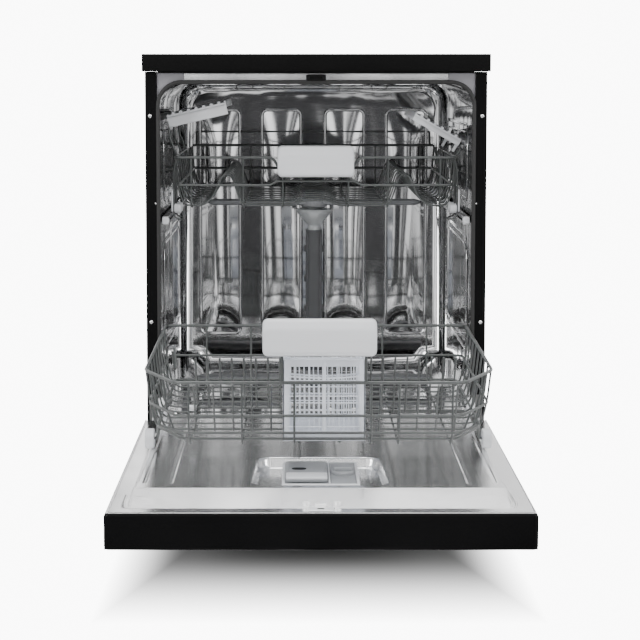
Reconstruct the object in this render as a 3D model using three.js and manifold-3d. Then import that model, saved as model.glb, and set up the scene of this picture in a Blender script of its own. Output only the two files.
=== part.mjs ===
// A 60 cm front-opening dishwasher with its door laid open and its lower rack rolled out on the door.
// Millimetres. +X is to the right as seen from the front, +Y runs to the back, and +Z is up.
// Inside this file Y = 0 is the front plane of the cabinet. The last lines move the origin to the
// middle of the footprint, on the floor.
import * as THREE from 'three';
import { mergeVertices } from 'three/addons/utils/BufferGeometryUtils.js';
import Module from 'manifold-3d';

const wasm = await Module();
wasm.setup();

// ---- Driving dimensions -------------------------------------------------------------------------

const CLEARANCE = 0.3; // what separates two pieces that touch
const SHEET = 1.5; // thickness of every pressed sheet

const TOP = { width: 598, depth: 600, thickness: 30, overhang: 25 };
const HEIGHT = 845;
const CABINET = { half: 296, flange: 20, depth: 570, foot: 22 };

const TUB = {
  half: 271, top: 794, corner: 40, depth: 540,
  floor: 203, ledge: 227, ledgeHalf: 243, sumpY: 245, sumpRadius: 95,
};
const SPRAY_AXIS = { lowerY: 270, upperY: 290 };

const HINGE = { y: -13, z: 200 }; // the door's pivot, across the machine
const DOOR = {
  front: -629, end: -3, half: 299, outer: 158, lip: 210,
  plateau: 228, plateauHalf: 270, plateauFront: -558, plateauEnd: -50, consoleEnd: -512,
};

const WIRE = 4; // a rack's rings
const THIN_WIRE = 3; // the wires between them
const LOWER = {
  half: 265, floorHalf: 240, front: -469, rear: 20, rim: 361, middle: 312, floor: 265,
};
const WHEEL = { radius: 15.5, inner: 255.5, outer: 269.5, ys: [-317, -75] };
const UPPER = { half: 248, floorHalf: 225, front: 45, rear: 530, rim: 664, middle: 622, floor: 590 };
const BASKET = { x: 7, halfWidth: 61, front: -450, rear: -325, bottom: 270, top: 392, wall: 2.5 };

// ---- Materials ----------------------------------------------------------------------------------

const finish = (color, roughness, metalness) =>
  new THREE.MeshStandardMaterial({ color, roughness, metalness });

const blackPaint = finish(0x0b0b0c, 0.35, 0.0);
const blackLaminate = finish(0x0a0a0a, 0.42, 0.0);
const blackPlastic = finish(0x111112, 0.4, 0.0);
const stainless = finish(0xb9bbbc, 0.18, 1.0);
const coatedWire = finish(0x6e7272, 0.45, 0.2);
const palePlastic = finish(0xdcdfe0, 0.45, 0.0);
const greyPlastic = finish(0x9a9d9f, 0.5, 0.0);
const basketPlastic = finish(0xc9d2da, 0.45, 0.0);
const clearPlastic = finish(0xcfd3d4, 0.2, 0.0);
const rubber = finish(0x161616, 0.8, 0.0);
const zincSteel = finish(0x8f9294, 0.4, 0.9);
const springSteel = finish(0x77797b, 0.35, 1.0);

// ---- Solids -------------------------------------------------------------------------------------

// A closed three.js geometry as a solid that can be joined and cut.
function solid(geometry) {
  const bare = geometry.clone();
  bare.deleteAttribute('normal');
  bare.deleteAttribute('uv');
  const merged = mergeVertices(bare, 1e-4);
  return new wasm.Manifold(new wasm.Mesh({
    numProp: 3,
    vertProperties: new Float32Array(merged.attributes.position.array),
    triVerts: new Uint32Array(merged.index.array),
  }));
}

// All the solids in a list as one.
const join = (...solids) => solids.flat().reduce((whole, next) => whole.add(next));

// A block between two values on each axis.
function block([x0, x1], [y0, y1], [z0, z1]) {
  const box = new THREE.BoxGeometry(x1 - x0, y1 - y0, z1 - z0);
  return solid(box.translate((x0 + x1) / 2, (y0 + y1) / 2, (z0 + z1) / 2));
}

// A round bar along X, Y or Z that starts at a point.
function rod(axis, [x, y, z], length, radius, sides = 16, endRadius = radius) {
  const bar = new THREE.CylinderGeometry(endRadius, radius, length, sides);
  bar.translate(0, length / 2, 0);
  if (axis === 'X') bar.rotateZ(-Math.PI / 2);
  if (axis === 'Z') bar.rotateX(Math.PI / 2);
  return solid(bar.translate(x, y, z));
}

// A square wire from one point to another.
function wire(from, to, thickness = THIN_WIRE) {
  const a = new THREE.Vector3(...from);
  const b = new THREE.Vector3(...to);
  const along = b.clone().sub(a);
  const bar = new THREE.BoxGeometry(thickness, thickness, along.length());
  const turn = new THREE.Quaternion().setFromUnitVectors(
    new THREE.Vector3(0, 0, 1), along.clone().normalize());
  bar.applyQuaternion(turn);
  return solid(bar.translate(...a.add(b).multiplyScalar(0.5).toArray()));
}

// An outline drawn in X and Z, carried from y0 to y1.
function alongY(shape, y0, y1, curveSegments = 6) {
  const body = new THREE.ExtrudeGeometry(
    shape, { depth: y1 - y0, bevelEnabled: false, curveSegments });
  return solid(body.rotateX(Math.PI / 2).translate(0, y1, 0));
}

// An outline drawn in X and Y, carried from z0 to z1.
function alongZ(shape, z0, z1, curveSegments = 6) {
  const body = new THREE.ExtrudeGeometry(
    shape, { depth: z1 - z0, bevelEnabled: false, curveSegments });
  return solid(body.translate(0, 0, z0));
}

// An outline drawn in Y and Z, carried from x0 to x1.
function alongX(points, x0, x1) {
  const shape = new THREE.Shape(points.map(([y, z]) => new THREE.Vector2(y, z)));
  const body = new THREE.ExtrudeGeometry(shape, { depth: x1 - x0, bevelEnabled: false });
  const turn = new THREE.Matrix4().makeBasis(
    new THREE.Vector3(0, 1, 0), new THREE.Vector3(0, 0, 1), new THREE.Vector3(1, 0, 0));
  return solid(body.applyMatrix4(turn).translate(x0, 0, 0));
}

// A rectangle with round corners.
function roundedRectangle(x0, x1, y0, y1, radius) {
  const shape = new THREE.Shape();
  shape.moveTo(x0 + radius, y0);
  shape.lineTo(x1 - radius, y0);
  shape.absarc(x1 - radius, y0 + radius, radius, -Math.PI / 2, 0);
  shape.lineTo(x1, y1 - radius);
  shape.absarc(x1 - radius, y1 - radius, radius, 0, Math.PI / 2);
  shape.lineTo(x0 + radius, y1);
  shape.absarc(x0 + radius, y1 - radius, radius, Math.PI / 2, Math.PI);
  shape.lineTo(x0, y0 + radius);
  shape.absarc(x0 + radius, y0 + radius, radius, Math.PI, 1.5 * Math.PI);
  return shape;
}

const dishwasher = new THREE.Group();

// A finished solid becomes a named mesh of the machine.
function add(name, body, material) {
  const { vertProperties, triVerts } = body.getMesh();
  const geometry = new THREE.BufferGeometry();
  geometry.setAttribute('position', new THREE.BufferAttribute(vertProperties, 3));
  geometry.setIndex(new THREE.BufferAttribute(triVerts, 1));
  const mesh = new THREE.Mesh(geometry, material);
  mesh.name = name;
  dishwasher.add(mesh);
}

const SIDES = [['left', -1], ['right', 1]];
const span = (side, near, far) => (side < 0 ? [-far, -near] : [near, far]);

// ---- Cabinet ------------------------------------------------------------------------------------

const topUnderside = HEIGHT - TOP.thickness;
const cabinetTop = topUnderside - CLEARANCE;

function worktop() {
  const half = TOP.width / 2;
  const outline = roundedRectangle(-half, half, -TOP.overhang, TOP.depth - TOP.overhang, 4);
  return alongZ(outline, topUnderside, HEIGHT, 2);
}

// A side sheet with a flange turned in along its front edge, notched where the hinge arm passes.
function sidePanel(side) {
  const sheet = block(span(side, CABINET.half - SHEET, CABINET.half),
    [0, CABINET.depth], [CABINET.foot + 3, cabinetTop]);
  const flange = block(span(side, CABINET.half - CABINET.flange, CABINET.half),
    [0, SHEET], [CABINET.foot + 3, cabinetTop]);
  const armNotch = block(span(side, CABINET.half - CABINET.flange - 1, CABINET.half - 4),
    [-1, SHEET + 1], [HINGE.z - 60, HINGE.z + 50]);
  return sheet.add(flange).subtract(armNotch);
}

function baseTray() {
  const half = CABINET.half - SHEET - 1;
  const outer = block([-half, half], [12, 560], [CABINET.foot, 62]);
  const inner = block([-half + 4, half - 4], [16, 556], [CABINET.foot + 4, 63]);
  return outer.subtract(inner);
}

// An L-shaped rail across the top of the opening.
function topRail() {
  const half = 228;
  const face = block([-half, half], [SHEET + 1, 2 * SHEET + 1], [797, 812]);
  const web = block([-half, half], [SHEET + 1, 32], [812 - SHEET, 812]);
  return face.add(web);
}

add('worktop', worktop(), blackLaminate);
for (const [word, side] of SIDES) add(`side_panel_${word}`, sidePanel(side), blackPaint);
add('back_panel', block([-292, 292], [566, 566 + SHEET], [145, 812]), zincSteel);
add('base_tray', baseTray(), blackPlastic);
add('kickplate', block([-292, 292], [4, 4 + SHEET], [25, 150]), blackPaint);
add('top_rail', topRail(), stainless);

for (const [depthWord, y] of [['front', 50], ['rear', 530]]) {
  for (const [word, side] of SIDES) {
    const pad = rod('Z', [side * 255, y, 0], 8, 20, 16);
    const screw = rod('Z', [side * 255, y, 7], CABINET.foot - CLEARANCE - 7, 7, 12);
    add(`foot_${depthWord}_${word}`, pad.add(screw), blackPlastic);
  }
}

// ---- Tub ----------------------------------------------------------------------------------------

// The tub's section grown by a distance: round upper corners, and a ledge along each side below.
function tubSection(grow) {
  const half = TUB.half + grow;
  const top = TUB.top + grow;
  const radius = TUB.corner + grow;
  const ledgeHalf = TUB.ledgeHalf + grow;
  const shape = new THREE.Shape();
  shape.moveTo(-half, TUB.ledge - grow);
  shape.lineTo(-ledgeHalf, TUB.ledge - grow);
  shape.lineTo(-ledgeHalf, TUB.floor - grow);
  shape.lineTo(ledgeHalf, TUB.floor - grow);
  shape.lineTo(ledgeHalf, TUB.ledge - grow);
  shape.lineTo(half, TUB.ledge - grow);
  shape.lineTo(half, top - radius);
  shape.absarc(half - radius, top - radius, radius, 0, Math.PI / 2);
  shape.lineTo(-half + radius, top);
  shape.absarc(-half + radius, top - radius, radius, Math.PI / 2, Math.PI);
  return shape;
}

const rimWidth = 4.5;

function tub() {
  const shell = alongY(tubSection(SHEET), 0, TUB.depth + SHEET);
  const rim = block([-TUB.half - rimWidth, TUB.half + rimWidth],
    [0, SHEET], [TUB.ledge + 1, TUB.top + 2.7]);
  const hollow = alongY(tubSection(0), -1, TUB.depth);
  const sumpHole = rod('Z', [0, TUB.sumpY, TUB.floor - 10], 20, TUB.sumpRadius, 32);
  return shell.add(rim).subtract(hollow).subtract(sumpHole);
}

// The rubber seal in front of the tub's rim, open along the bottom.
function tubGasket() {
  const thickness = 3;
  const outer = block([-TUB.half - rimWidth, TUB.half + rimWidth],
    [-thickness - CLEARANCE, -CLEARANCE], [TUB.ledge + 2, TUB.top + 2.7]);
  return outer.subtract(alongY(tubSection(0.2), -10, 10));
}

function latchStrike() {
  const plate = block([-17, 17], [-6, SHEET + 1 - CLEARANCE], [799, 810]);
  const window = block([-11, 11], [-7, -2], [802, 807]);
  return plate.subtract(window);
}

// The duct that carries water up the tub's back wall.
function sprayDuct() {
  const outline = roundedRectangle(-15, 19, TUB.depth - 22, TUB.depth - CLEARANCE, 8);
  return alongZ(outline, TUB.floor + CLEARANCE, 490, 3);
}

add('tub', tub(), stainless);
add('tub_gasket', tubGasket(), rubber);
add('latch_strike', latchStrike(), blackPlastic);
add('spray_duct', sprayDuct(), greyPlastic);

// ---- Sump, filters, pumps and connections -------------------------------------------------------

const sumpTop = TUB.floor - SHEET - CLEARANCE;
const FILTER = { y: 195, radius: 37, bottom: 135, top: 214 };

// A cup under the tub's floor, with the post that the lower spray arm turns on.
function sumpHousing() {
  const cup = rod('Z', [0, TUB.sumpY, 120], sumpTop - 120, 104, 32);
  const well = rod('Z', [0, TUB.sumpY, 128], 100, 92, 32);
  const post = rod('Z', [0, SPRAY_AXIS.lowerY, 124], 218 - 124, 12, 12);
  return cup.subtract(well).add(post);
}

function filterPlate() {
  const plateBottom = TUB.floor + CLEARANCE;
  const plate = rod('Z', [0, TUB.sumpY, plateBottom], SHEET, 112, 32);
  const postHole = rod('Z', [0, SPRAY_AXIS.lowerY, plateBottom - 5], 20, 14, 12);
  const cupHole = rod('Z', [0, FILTER.y, plateBottom - 5], 20, FILTER.radius + 1.5, 24);
  return plate.subtract(postHole).subtract(cupHole);
}

// The fine filter: an open-topped cup with a grip bar across its mouth.
function filterCup() {
  const outer = rod('Z', [0, FILTER.y, FILTER.bottom], FILTER.top - FILTER.bottom, FILTER.radius, 24);
  const inner = rod('Z', [0, FILTER.y, FILTER.bottom + 3], 100, FILTER.radius - 3, 24);
  const grip = block([-FILTER.radius + 2, FILTER.radius - 2], [FILTER.y - 3, FILTER.y + 3],
    [FILTER.top - 14, FILTER.top]);
  return outer.subtract(inner).add(grip);
}

// A short pipe along Y.
function spigot(x, z, y0, y1, radius) {
  const pipe = rod('Y', [x, y0, z], y1 - y0, radius, 16);
  const bore = rod('Y', [x, y0 + 4, z], y1 - y0, radius - 3, 12);
  return pipe.subtract(bore);
}

add('sump_housing', sumpHousing(), greyPlastic);
add('filter_plate', filterPlate(), stainless);
add('filter_cup', filterCup(), greyPlastic);
add('circulation_pump', rod('X', [112, TUB.sumpY, 122], 125, 42, 20), blackPlastic);
add('drain_pump', rod('Y', [-160, 200, 112], 85, 30, 16), blackPlastic);
add('water_inlet_valve', block([-250, -205], [515, 560], [75, 130])
  .add(spigot(-228, 100, 555, 574, 12)), palePlastic);
add('drain_spigot', spigot(230, 100, 520, 574, 12), greyPlastic);
add('cable_gland', spigot(150, 100, 548, 572, 9), blackPlastic);

// The screw cap of the salt container, with a cross grip.
function saltCap() {
  const cap = rod('Z', [-150, 400, TUB.floor + CLEARANCE], 12, 34, 24);
  const grip = block([-180, -120], [396, 404], [TUB.floor + 10, TUB.floor + 16]);
  return cap.add(grip);
}
add('salt_cap', saltCap(), greyPlastic);

// ---- Spray arms ---------------------------------------------------------------------------------

// A flat arm with two tapering blades along X and a round hub.
function sprayArm(y, z, reach, rootHalf, tipHalf, depth) {
  const shape = new THREE.Shape();
  shape.moveTo(-reach + tipHalf, y - tipHalf);
  shape.lineTo(0, y - rootHalf);
  shape.lineTo(reach - tipHalf, y - tipHalf);
  shape.absarc(reach - tipHalf, y, tipHalf, -Math.PI / 2, Math.PI / 2);
  shape.lineTo(0, y + rootHalf);
  shape.lineTo(-reach + tipHalf, y + tipHalf);
  shape.absarc(-reach + tipHalf, y, tipHalf, Math.PI / 2, 1.5 * Math.PI);
  return alongZ(shape, z, z + depth, 3).add(rod('Z', [0, y, z - 3], depth + 8, rootHalf + 6, 20));
}

add('lower_spray_arm', sprayArm(SPRAY_AXIS.lowerY, 222, 228, 24, 14, 14), greyPlastic);

// ---- Door ---------------------------------------------------------------------------------------

const DISPENSER = { x: [-54, 57], y: [-508, -382] };
const RECESS = { half: 95, y: [-540, -371], floor: 214 };

// The painted outer sheet: it faces down while the door is open.
function doorOuterPanel() {
  const ys = [DOOR.consoleEnd + CLEARANCE, DOOR.end];
  const face = block([-DOOR.half, DOOR.half], ys, [DOOR.outer, DOOR.outer + SHEET]);
  const edges = SIDES.map(([, side]) =>
    block(span(side, DOOR.half - SHEET, DOOR.half), ys, [DOOR.outer, DOOR.lip - 4]));
  return join(face, edges);
}

// The steel lining: a flat border, a raised middle, and a dished recess with the dispenser's hole.
function doorInnerPanel() {
  const border = block([-DOOR.half + 2.5, DOOR.half - 2.5], [DOOR.front + 3 + CLEARANCE, -28],
    [DOOR.lip - SHEET, DOOR.lip]);
  const raised = block([-DOOR.plateauHalf, DOOR.plateauHalf], [DOOR.plateauFront, DOOR.plateauEnd],
    [DOOR.lip - SHEET, DOOR.plateau]);
  const underside = block([-DOOR.plateauHalf + SHEET, DOOR.plateauHalf - SHEET],
    [DOOR.plateauFront + SHEET, DOOR.plateauEnd - SHEET], [DOOR.lip - 10, DOOR.plateau - SHEET]);
  const dish = (grow, bottom, top) => block([-RECESS.half - grow, RECESS.half + grow],
    [RECESS.y[0] - grow, RECESS.y[1] + grow], [bottom, top]);
  const window = block([DISPENSER.x[0] - 1, DISPENSER.x[1] + 1],
    [DISPENSER.y[0] - 1, DISPENSER.y[1] + 1], [DOOR.plateau - 20, DOOR.plateau + 10]);
  return border.add(raised).subtract(underside)
    .add(dish(SHEET, RECESS.floor - SHEET, DOOR.plateau - 0.5))
    .subtract(dish(0, RECESS.floor, DOOR.plateau + 5))
    .subtract(window);
}

const BUTTONS = [['power_button', -230], ['programme_button', 150], ['start_button', 230]];
const BUTTON = { y: -590, radius: 8 };
const POCKET = { half: 80, y: [-560, -524], top: 190 };

// The control housing: the door's leading edge, with a grip pocket and button holes in its face.
function controlConsole() {
  const ys = [DOOR.front, DOOR.consoleEnd];
  const outer = block([-DOOR.half, DOOR.half], ys, [DOOR.outer, DOOR.lip - 4]);
  const edge = block([-DOOR.half, DOOR.half], [DOOR.front, DOOR.front + 3], [DOOR.outer, DOOR.lip]);
  const inner = block([-DOOR.half + 3, DOOR.half - 3], [DOOR.front + 3, DOOR.consoleEnd + 5],
    [DOOR.outer + 3, DOOR.lip + 1]);
  const pocketHole = block([-POCKET.half - 1, POCKET.half + 1],
    [POCKET.y[0] - 1, POCKET.y[1] + 1], [DOOR.outer - 1, DOOR.outer + 10]);
  const holes = BUTTONS.map(([, x]) =>
    rod('Z', [x, BUTTON.y, DOOR.outer - 1], 10, BUTTON.radius + 0.6, 16));
  return outer.add(edge).subtract(join(inner, pocketHole, holes));
}

// The cup behind the grip, open downwards, which fingers hook into.
function doorHandle() {
  const cup = block([-POCKET.half, POCKET.half], POCKET.y, [DOOR.outer, POCKET.top]);
  const hollow = block([-POCKET.half + 3, POCKET.half - 3], [POCKET.y[0] + 3, POCKET.y[1] - 3],
    [DOOR.outer - 1, POCKET.top - 3]);
  return cup.subtract(hollow);
}

function latchPlate() {
  const ys = [-620, -598];
  const plate = block([-18, 18], ys, [DOOR.lip + CLEARANCE, DOOR.lip + 2]);
  const hole = block([-7, 7], [-615, -603], [DOOR.lip - 5, DOOR.lip + 5]);
  return plate.subtract(hole);
}

// The detergent tray: an open cup on the left that the lid covers, and the rinse-aid well.
const LID = { x: [-50, 12], y: [-500, -390] };
const CAP = { x: 35, y: -445, radius: 17 };

function dispenserBody() {
  const body = block(DISPENSER.x, DISPENSER.y, [DOOR.outer + 25, DOOR.plateau - 8]);
  const cup = block([LID.x[0] + 8, LID.x[1] - 8], [LID.y[0] + 10, LID.y[1] - 10],
    [DOOR.plateau - 38, DOOR.plateau]);
  return body.subtract(cup);
}

function rinseAidCap() {
  const bottom = DOOR.plateau - 8 + CLEARANCE;
  const cap = rod('Z', [CAP.x, CAP.y, bottom], 5, CAP.radius, 20);
  const grip = block([CAP.x - 14, CAP.x + 14], [CAP.y - 3, CAP.y + 3], [bottom + 4, bottom + 10]);
  return cap.add(grip);
}

add('door_outer_panel', doorOuterPanel(), blackPaint);
add('door_inner_panel', doorInnerPanel(), stainless);
add('control_console', controlConsole(), blackPlastic);
add('door_handle', doorHandle(), blackPlastic);
add('display_window', block([-60, 60], [-606, -576], [DOOR.outer - 1.2, DOOR.outer - CLEARANCE]),
  clearPlastic);
for (const [name, x] of BUTTONS) {
  add(name, rod('Z', [x, BUTTON.y, DOOR.outer - 2.5], 12, BUTTON.radius, 16), palePlastic);
}
add('latch_plate', latchPlate(), stainless);
add('door_seal', block([-268, 268], [-46, -31], [DOOR.lip + CLEARANCE, DOOR.lip + 8]), rubber);
add('dispenser_body', dispenserBody(), greyPlastic);
add('detergent_lid', block(LID.x, LID.y, [DOOR.plateau - 8 + CLEARANCE, DOOR.plateau - 1]),
  greyPlastic);
add('rinse_aid_cap', rinseAidCap(), greyPlastic);

// ---- Door hinges --------------------------------------------------------------------------------

const ARM_TAIL = { y: 28, z: 190 };
const SPRING = { bottom: 66, top: 175, radius: 5 };

// A flat arm from inside the door, past the pivot, to the tail that the spring pulls on.
function hingeArm(side) {
  const outline = [[-160, 176], [-30, 178], [-13, 186], [ARM_TAIL.y + 6, 180],
    [ARM_TAIL.y + 6, 198], [-13, 212], [-25, 204], [-160, 196]];
  return alongX(outline, ...span(side, 283, 286));
}

// The cabinet's upright that carries the pivot pin.
function hingeBracket(side) {
  const plate = block(span(side, 277, 279), [10, 60], [64, 226]);
  const ear = block(span(side, 277, 279), [HINGE.y - 9, 12], [HINGE.z - 9, HINGE.z + 9]);
  const pin = rod('X', [side < 0 ? -282.5 : 278.5, HINGE.y, HINGE.z], 4, 4, 12);
  return join(plate, ear, pin);
}

for (const [word, side] of SIDES) {
  add(`hinge_arm_${word}`, hingeArm(side), zincSteel);
  add(`hinge_bracket_${word}`, hingeBracket(side), zincSteel);
  add(`door_spring_${word}`, rod('Z', [side * 288, ARM_TAIL.y, SPRING.bottom],
    SPRING.top - SPRING.bottom, SPRING.radius, 12), springSteel);
}

// ---- Racks --------------------------------------------------------------------------------------

// A rectangular ring of wire at one height.
function ring(half, front, rear, z) {
  const frame = (grow, z0, z1) =>
    block([-half - grow, half + grow], [front - grow, rear + grow], [z0, z1]);
  return frame(WIRE / 2, z - WIRE / 2, z + WIRE / 2).subtract(frame(-WIRE / 2, z - WIRE, z + WIRE));
}

const steps = (from, to, count) =>
  Array.from({ length: count }, (_, i) => from + ((to - from) * i) / (count - 1));

// An open basket of wire: a floor grid, walls that lean out to the rim, and a middle ring.
// The long wires of the floor lie a little above the cross wires, as they do when welded.
function wireBasket(rack, draft) {
  const { half, floorHalf, front, rear, rim, middle, floor } = rack;
  const rise = (middle - floor) / (rim - floor);
  const middleHalf = floorHalf + (half - floorHalf) * rise;
  const [floorFront, floorRear] = [front + draft, rear - draft];
  const wires = [
    ring(half, front, rear, rim),
    ring(middleHalf, front + draft * (1 - rise), rear - draft * (1 - rise), middle),
    ring(floorHalf, floorFront, floorRear, floor),
  ];
  for (const x of steps(-floorHalf * 0.75, floorHalf * 0.75, 5)) {
    wires.push(wire([x, floorFront, floor + 0.4], [x, floorRear, floor + 0.4]));
    wires.push(wire([x, floorFront, floor], [x, front, rim]));
    wires.push(wire([x, floorRear, floor], [x, rear, rim]));
  }
  for (const y of steps(floorFront + 80, floorRear - 80, 4)) {
    wires.push(wire([-floorHalf, y, floor - 0.3], [floorHalf, y, floor - 0.3]));
    for (const side of [-1, 1]) {
      wires.push(wire([side * floorHalf, y, floor], [side * half, y, rim]));
    }
  }
  return join(wires);
}

// The lower basket, with axle plates for its wheels and the wire frame that holds its handle.
function lowerBasket() {
  const postX = 61;
  const handleZ = 427;
  const extras = [
    block([-postX - 2, -postX + 1], [LOWER.front - 1.5, LOWER.front + 1.5], [LOWER.rim, handleZ]),
    block([postX - 1, postX + 2], [LOWER.front - 1.5, LOWER.front + 1.5], [LOWER.rim, handleZ]),
    block([-postX - 3, postX + 3], [LOWER.front - 1.8, LOWER.front + 1.8],
      [handleZ - 2, handleZ + 2]),
  ];
  const axleZ = DOOR.plateau + CLEARANCE + WHEEL.radius;
  for (const y of WHEEL.ys) {
    for (const [, side] of SIDES) {
      extras.push(block(span(side, LOWER.floorHalf - 2, WHEEL.inner - 1), [y - 8, y + 8],
        [axleZ - 5, LOWER.floor + 2]));
    }
  }
  return wireBasket(LOWER, 14).add(join(extras));
}

const HANDLE_DEPTH = 17;

// A moulded grip: a rounded bar standing just in front of a rack's front wires.
function rackHandle(halfWidth, y, z0, z1) {
  const outline = roundedRectangle(-halfWidth, halfWidth, z0, z1, 8);
  return alongY(outline, y - HANDLE_DEPTH - WIRE / 2 - CLEARANCE, y - WIRE / 2 - CLEARANCE, 3);
}

// The cutlery basket: an open box with a bar of divider across the middle.
function cutleryBasket() {
  const { x, halfWidth, front, rear, bottom, top, wall } = BASKET;
  const outer = block([x - halfWidth, x + halfWidth], [front, rear], [bottom, top]);
  const pocket = (ys) => block([x - halfWidth + wall, x + halfWidth - wall], ys,
    [bottom + wall, top + 1]);
  const middle = (front + rear) / 2;
  return outer.subtract(pocket([front + wall, middle - wall]))
    .subtract(pocket([middle + wall, rear - wall]));
}

const TINES = { y: -233, z: 275, height: 90, lean: 50, from: -193, to: -60 };

// A row of plate tines that lean forward from a rod, and fold down flat towards the front.
function foldingTines() {
  const { y, z, height, lean, from, to } = TINES;
  const tines = steps(from, to, 8).map((x) => wire([x, y, z], [x, y - lean, z + height]));
  return join(wire([from - 4, y, z], [to + 4, y, z], WIRE), tines);
}

add('lower_basket', lowerBasket(), coatedWire);
add('lower_handle', rackHandle(83, LOWER.front, 400, 454), palePlastic);
add('cutlery_basket', cutleryBasket(), basketPlastic);
add('folding_tines', foldingTines(), coatedWire);

for (const [depthWord, y] of [['front', WHEEL.ys[0]], ['rear', WHEEL.ys[1]]]) {
  for (const [word, side] of SIDES) {
    const x = side < 0 ? -WHEEL.outer : WHEEL.inner;
    const wheel = rod('X', [x, y, DOOR.plateau + CLEARANCE + WHEEL.radius],
      WHEEL.outer - WHEEL.inner, WHEEL.radius, 24);
    add(`lower_wheel_${depthWord}_${word}`, wheel, palePlastic);
  }
}

const RAIL = { inner: 257, outer: 269, bottom: 548, top: 562, ys: [15, 505] };

// The upper basket, with hangers that reach down beside the rails.
function upperBasket() {
  const hangers = [];
  for (const y of [90, 470]) {
    for (const [, side] of SIDES) {
      hangers.push(block(span(side, UPPER.floorHalf - 2, RAIL.inner - 2), [y - 12, y + 12],
        [UPPER.floor - 2, UPPER.floor + 2]));
      hangers.push(block(span(side, RAIL.inner - 5, RAIL.inner - 2), [y - 12, y + 12],
        [RAIL.bottom, UPPER.floor + 2]));
    }
  }
  return wireBasket(UPPER, 12).add(join(hangers));
}

// A cup shelf hung from the tub side of the upper rack: a thin tray that slopes up to its free edge.
const SHELVES = {
  left: { outer: -265, inner: -160, outerZ: 737, innerZ: 761 },
  right: { outer: 260, inner: 178, outerZ: 694, innerZ: 741 },
};
const SHELF = { front: 75, rear: 325, thickness: 8 };

function cupShelf({ outer, inner, outerZ, innerZ }) {
  const shape = new THREE.Shape();
  shape.moveTo(outer, outerZ);
  shape.lineTo(inner, innerZ);
  shape.lineTo(inner, innerZ - SHELF.thickness);
  shape.lineTo(outer, outerZ - SHELF.thickness);
  return alongY(shape, SHELF.front, SHELF.rear);
}

// The funnel under the upper rack that catches the lower arm's centre jet.
function feedFunnel() {
  const y = SPRAY_AXIS.upperY;
  const outer = rod('Z', [0, y, 513], 40, 12.5, 24, 34.5);
  const inner = rod('Z', [0, y, 515], 42, 9.5, 24, 33);
  return outer.subtract(inner);
}

add('upper_basket', upperBasket(), coatedWire);
add('upper_handle', rackHandle(67, UPPER.front, 630, 685), palePlastic);
for (const [word] of SIDES) add(`cup_shelf_${word}`, cupShelf(SHELVES[word]), palePlastic);
add('upper_feed_funnel', feedFunnel(), clearPlastic);
add('upper_spray_arm', sprayArm(SPRAY_AXIS.upperY, 560, 205, 20, 12, 12), greyPlastic);
for (const [word, side] of SIDES) {
  add(`rack_rail_${word}`, block(span(side, RAIL.inner, RAIL.outer), RAIL.ys,
    [RAIL.bottom, RAIL.top]), stainless);
}

// ---- The origin: middle of the footprint, on the floor ------------------------------------------

const back = TOP.depth - TOP.overhang;
dishwasher.position.y = -(DOOR.front + back) / 2;

export default dishwasher;
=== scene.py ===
import math

import bmesh
import bpy
import numpy as np
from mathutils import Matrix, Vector


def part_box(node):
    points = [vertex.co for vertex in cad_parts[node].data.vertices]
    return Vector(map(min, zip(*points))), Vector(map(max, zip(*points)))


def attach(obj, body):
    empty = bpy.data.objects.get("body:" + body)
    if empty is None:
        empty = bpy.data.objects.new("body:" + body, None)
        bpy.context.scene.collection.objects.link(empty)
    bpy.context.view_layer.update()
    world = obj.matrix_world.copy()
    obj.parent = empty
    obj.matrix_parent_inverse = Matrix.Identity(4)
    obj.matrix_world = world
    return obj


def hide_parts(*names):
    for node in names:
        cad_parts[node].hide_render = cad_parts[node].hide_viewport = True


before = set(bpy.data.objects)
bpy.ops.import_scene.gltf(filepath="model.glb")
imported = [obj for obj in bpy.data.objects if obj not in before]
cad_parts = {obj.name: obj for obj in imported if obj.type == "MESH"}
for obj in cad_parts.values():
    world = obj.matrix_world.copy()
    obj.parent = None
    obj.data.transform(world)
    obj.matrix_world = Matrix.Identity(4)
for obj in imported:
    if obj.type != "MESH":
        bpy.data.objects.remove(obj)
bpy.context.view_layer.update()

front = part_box("side_panel_left")[0].y  # the plane of the cabinet's front edges

# ---- Camera ----
# A long lens at the height of the worktop, a little left of the middle, tipped down slightly. Part of
# the drop to the door is lens shift, which keeps the sides of the cabinet close to upright.

camera = bpy.data.objects.new("camera", bpy.data.cameras.new("camera"))
camera.data.sensor_width = 36
camera.data.lens = 91.47
camera.data.shift_x = 0.036
camera.data.shift_y = -0.18
camera.location = (-0.0331, front - 2.8175, 0.8121)
camera.rotation_euler = (math.pi / 2 - 0.0808, 0, 0)
bpy.context.scene.collection.objects.link(camera)
bpy.context.scene.camera = camera

# ---- Studio ----
# A white sweep of floor under one large overhead lamp and two side lamps, with a painted shadow on it
# in front of the cabinet. The room is white to the camera, while polished steel mirrors a room of
# tall windows and dark gaps between them.


def linked(tree, kind, settings=(), **inputs):
    """Adds a node, sets its properties, and fills its sockets with numbers or other sockets."""
    node = tree.nodes.new(kind)
    for key, value in settings:
        setattr(node, key, value)
    for key, value in inputs.items():
        socket = node.inputs[int(key[1:])] if key[1:].isdigit() else node.inputs[key.replace("_", " ")]
        if isinstance(value, bpy.types.NodeSocket):
            tree.links.new(value, socket)
        else:
            socket.default_value = value
    return node


def ramp(tree, factor, *stops):
    """A colour ramp through (place, colour) stops."""
    node = linked(tree, "ShaderNodeValToRGB", _0=factor)
    elements = node.color_ramp.elements
    while len(elements) < len(stops):
        elements.new(0.5)
    for element, (place, colour) in zip(elements, stops):
        element.position = place
        element.color = (*colour, 1) if len(colour) == 3 else colour
    return node.outputs[0]


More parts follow.
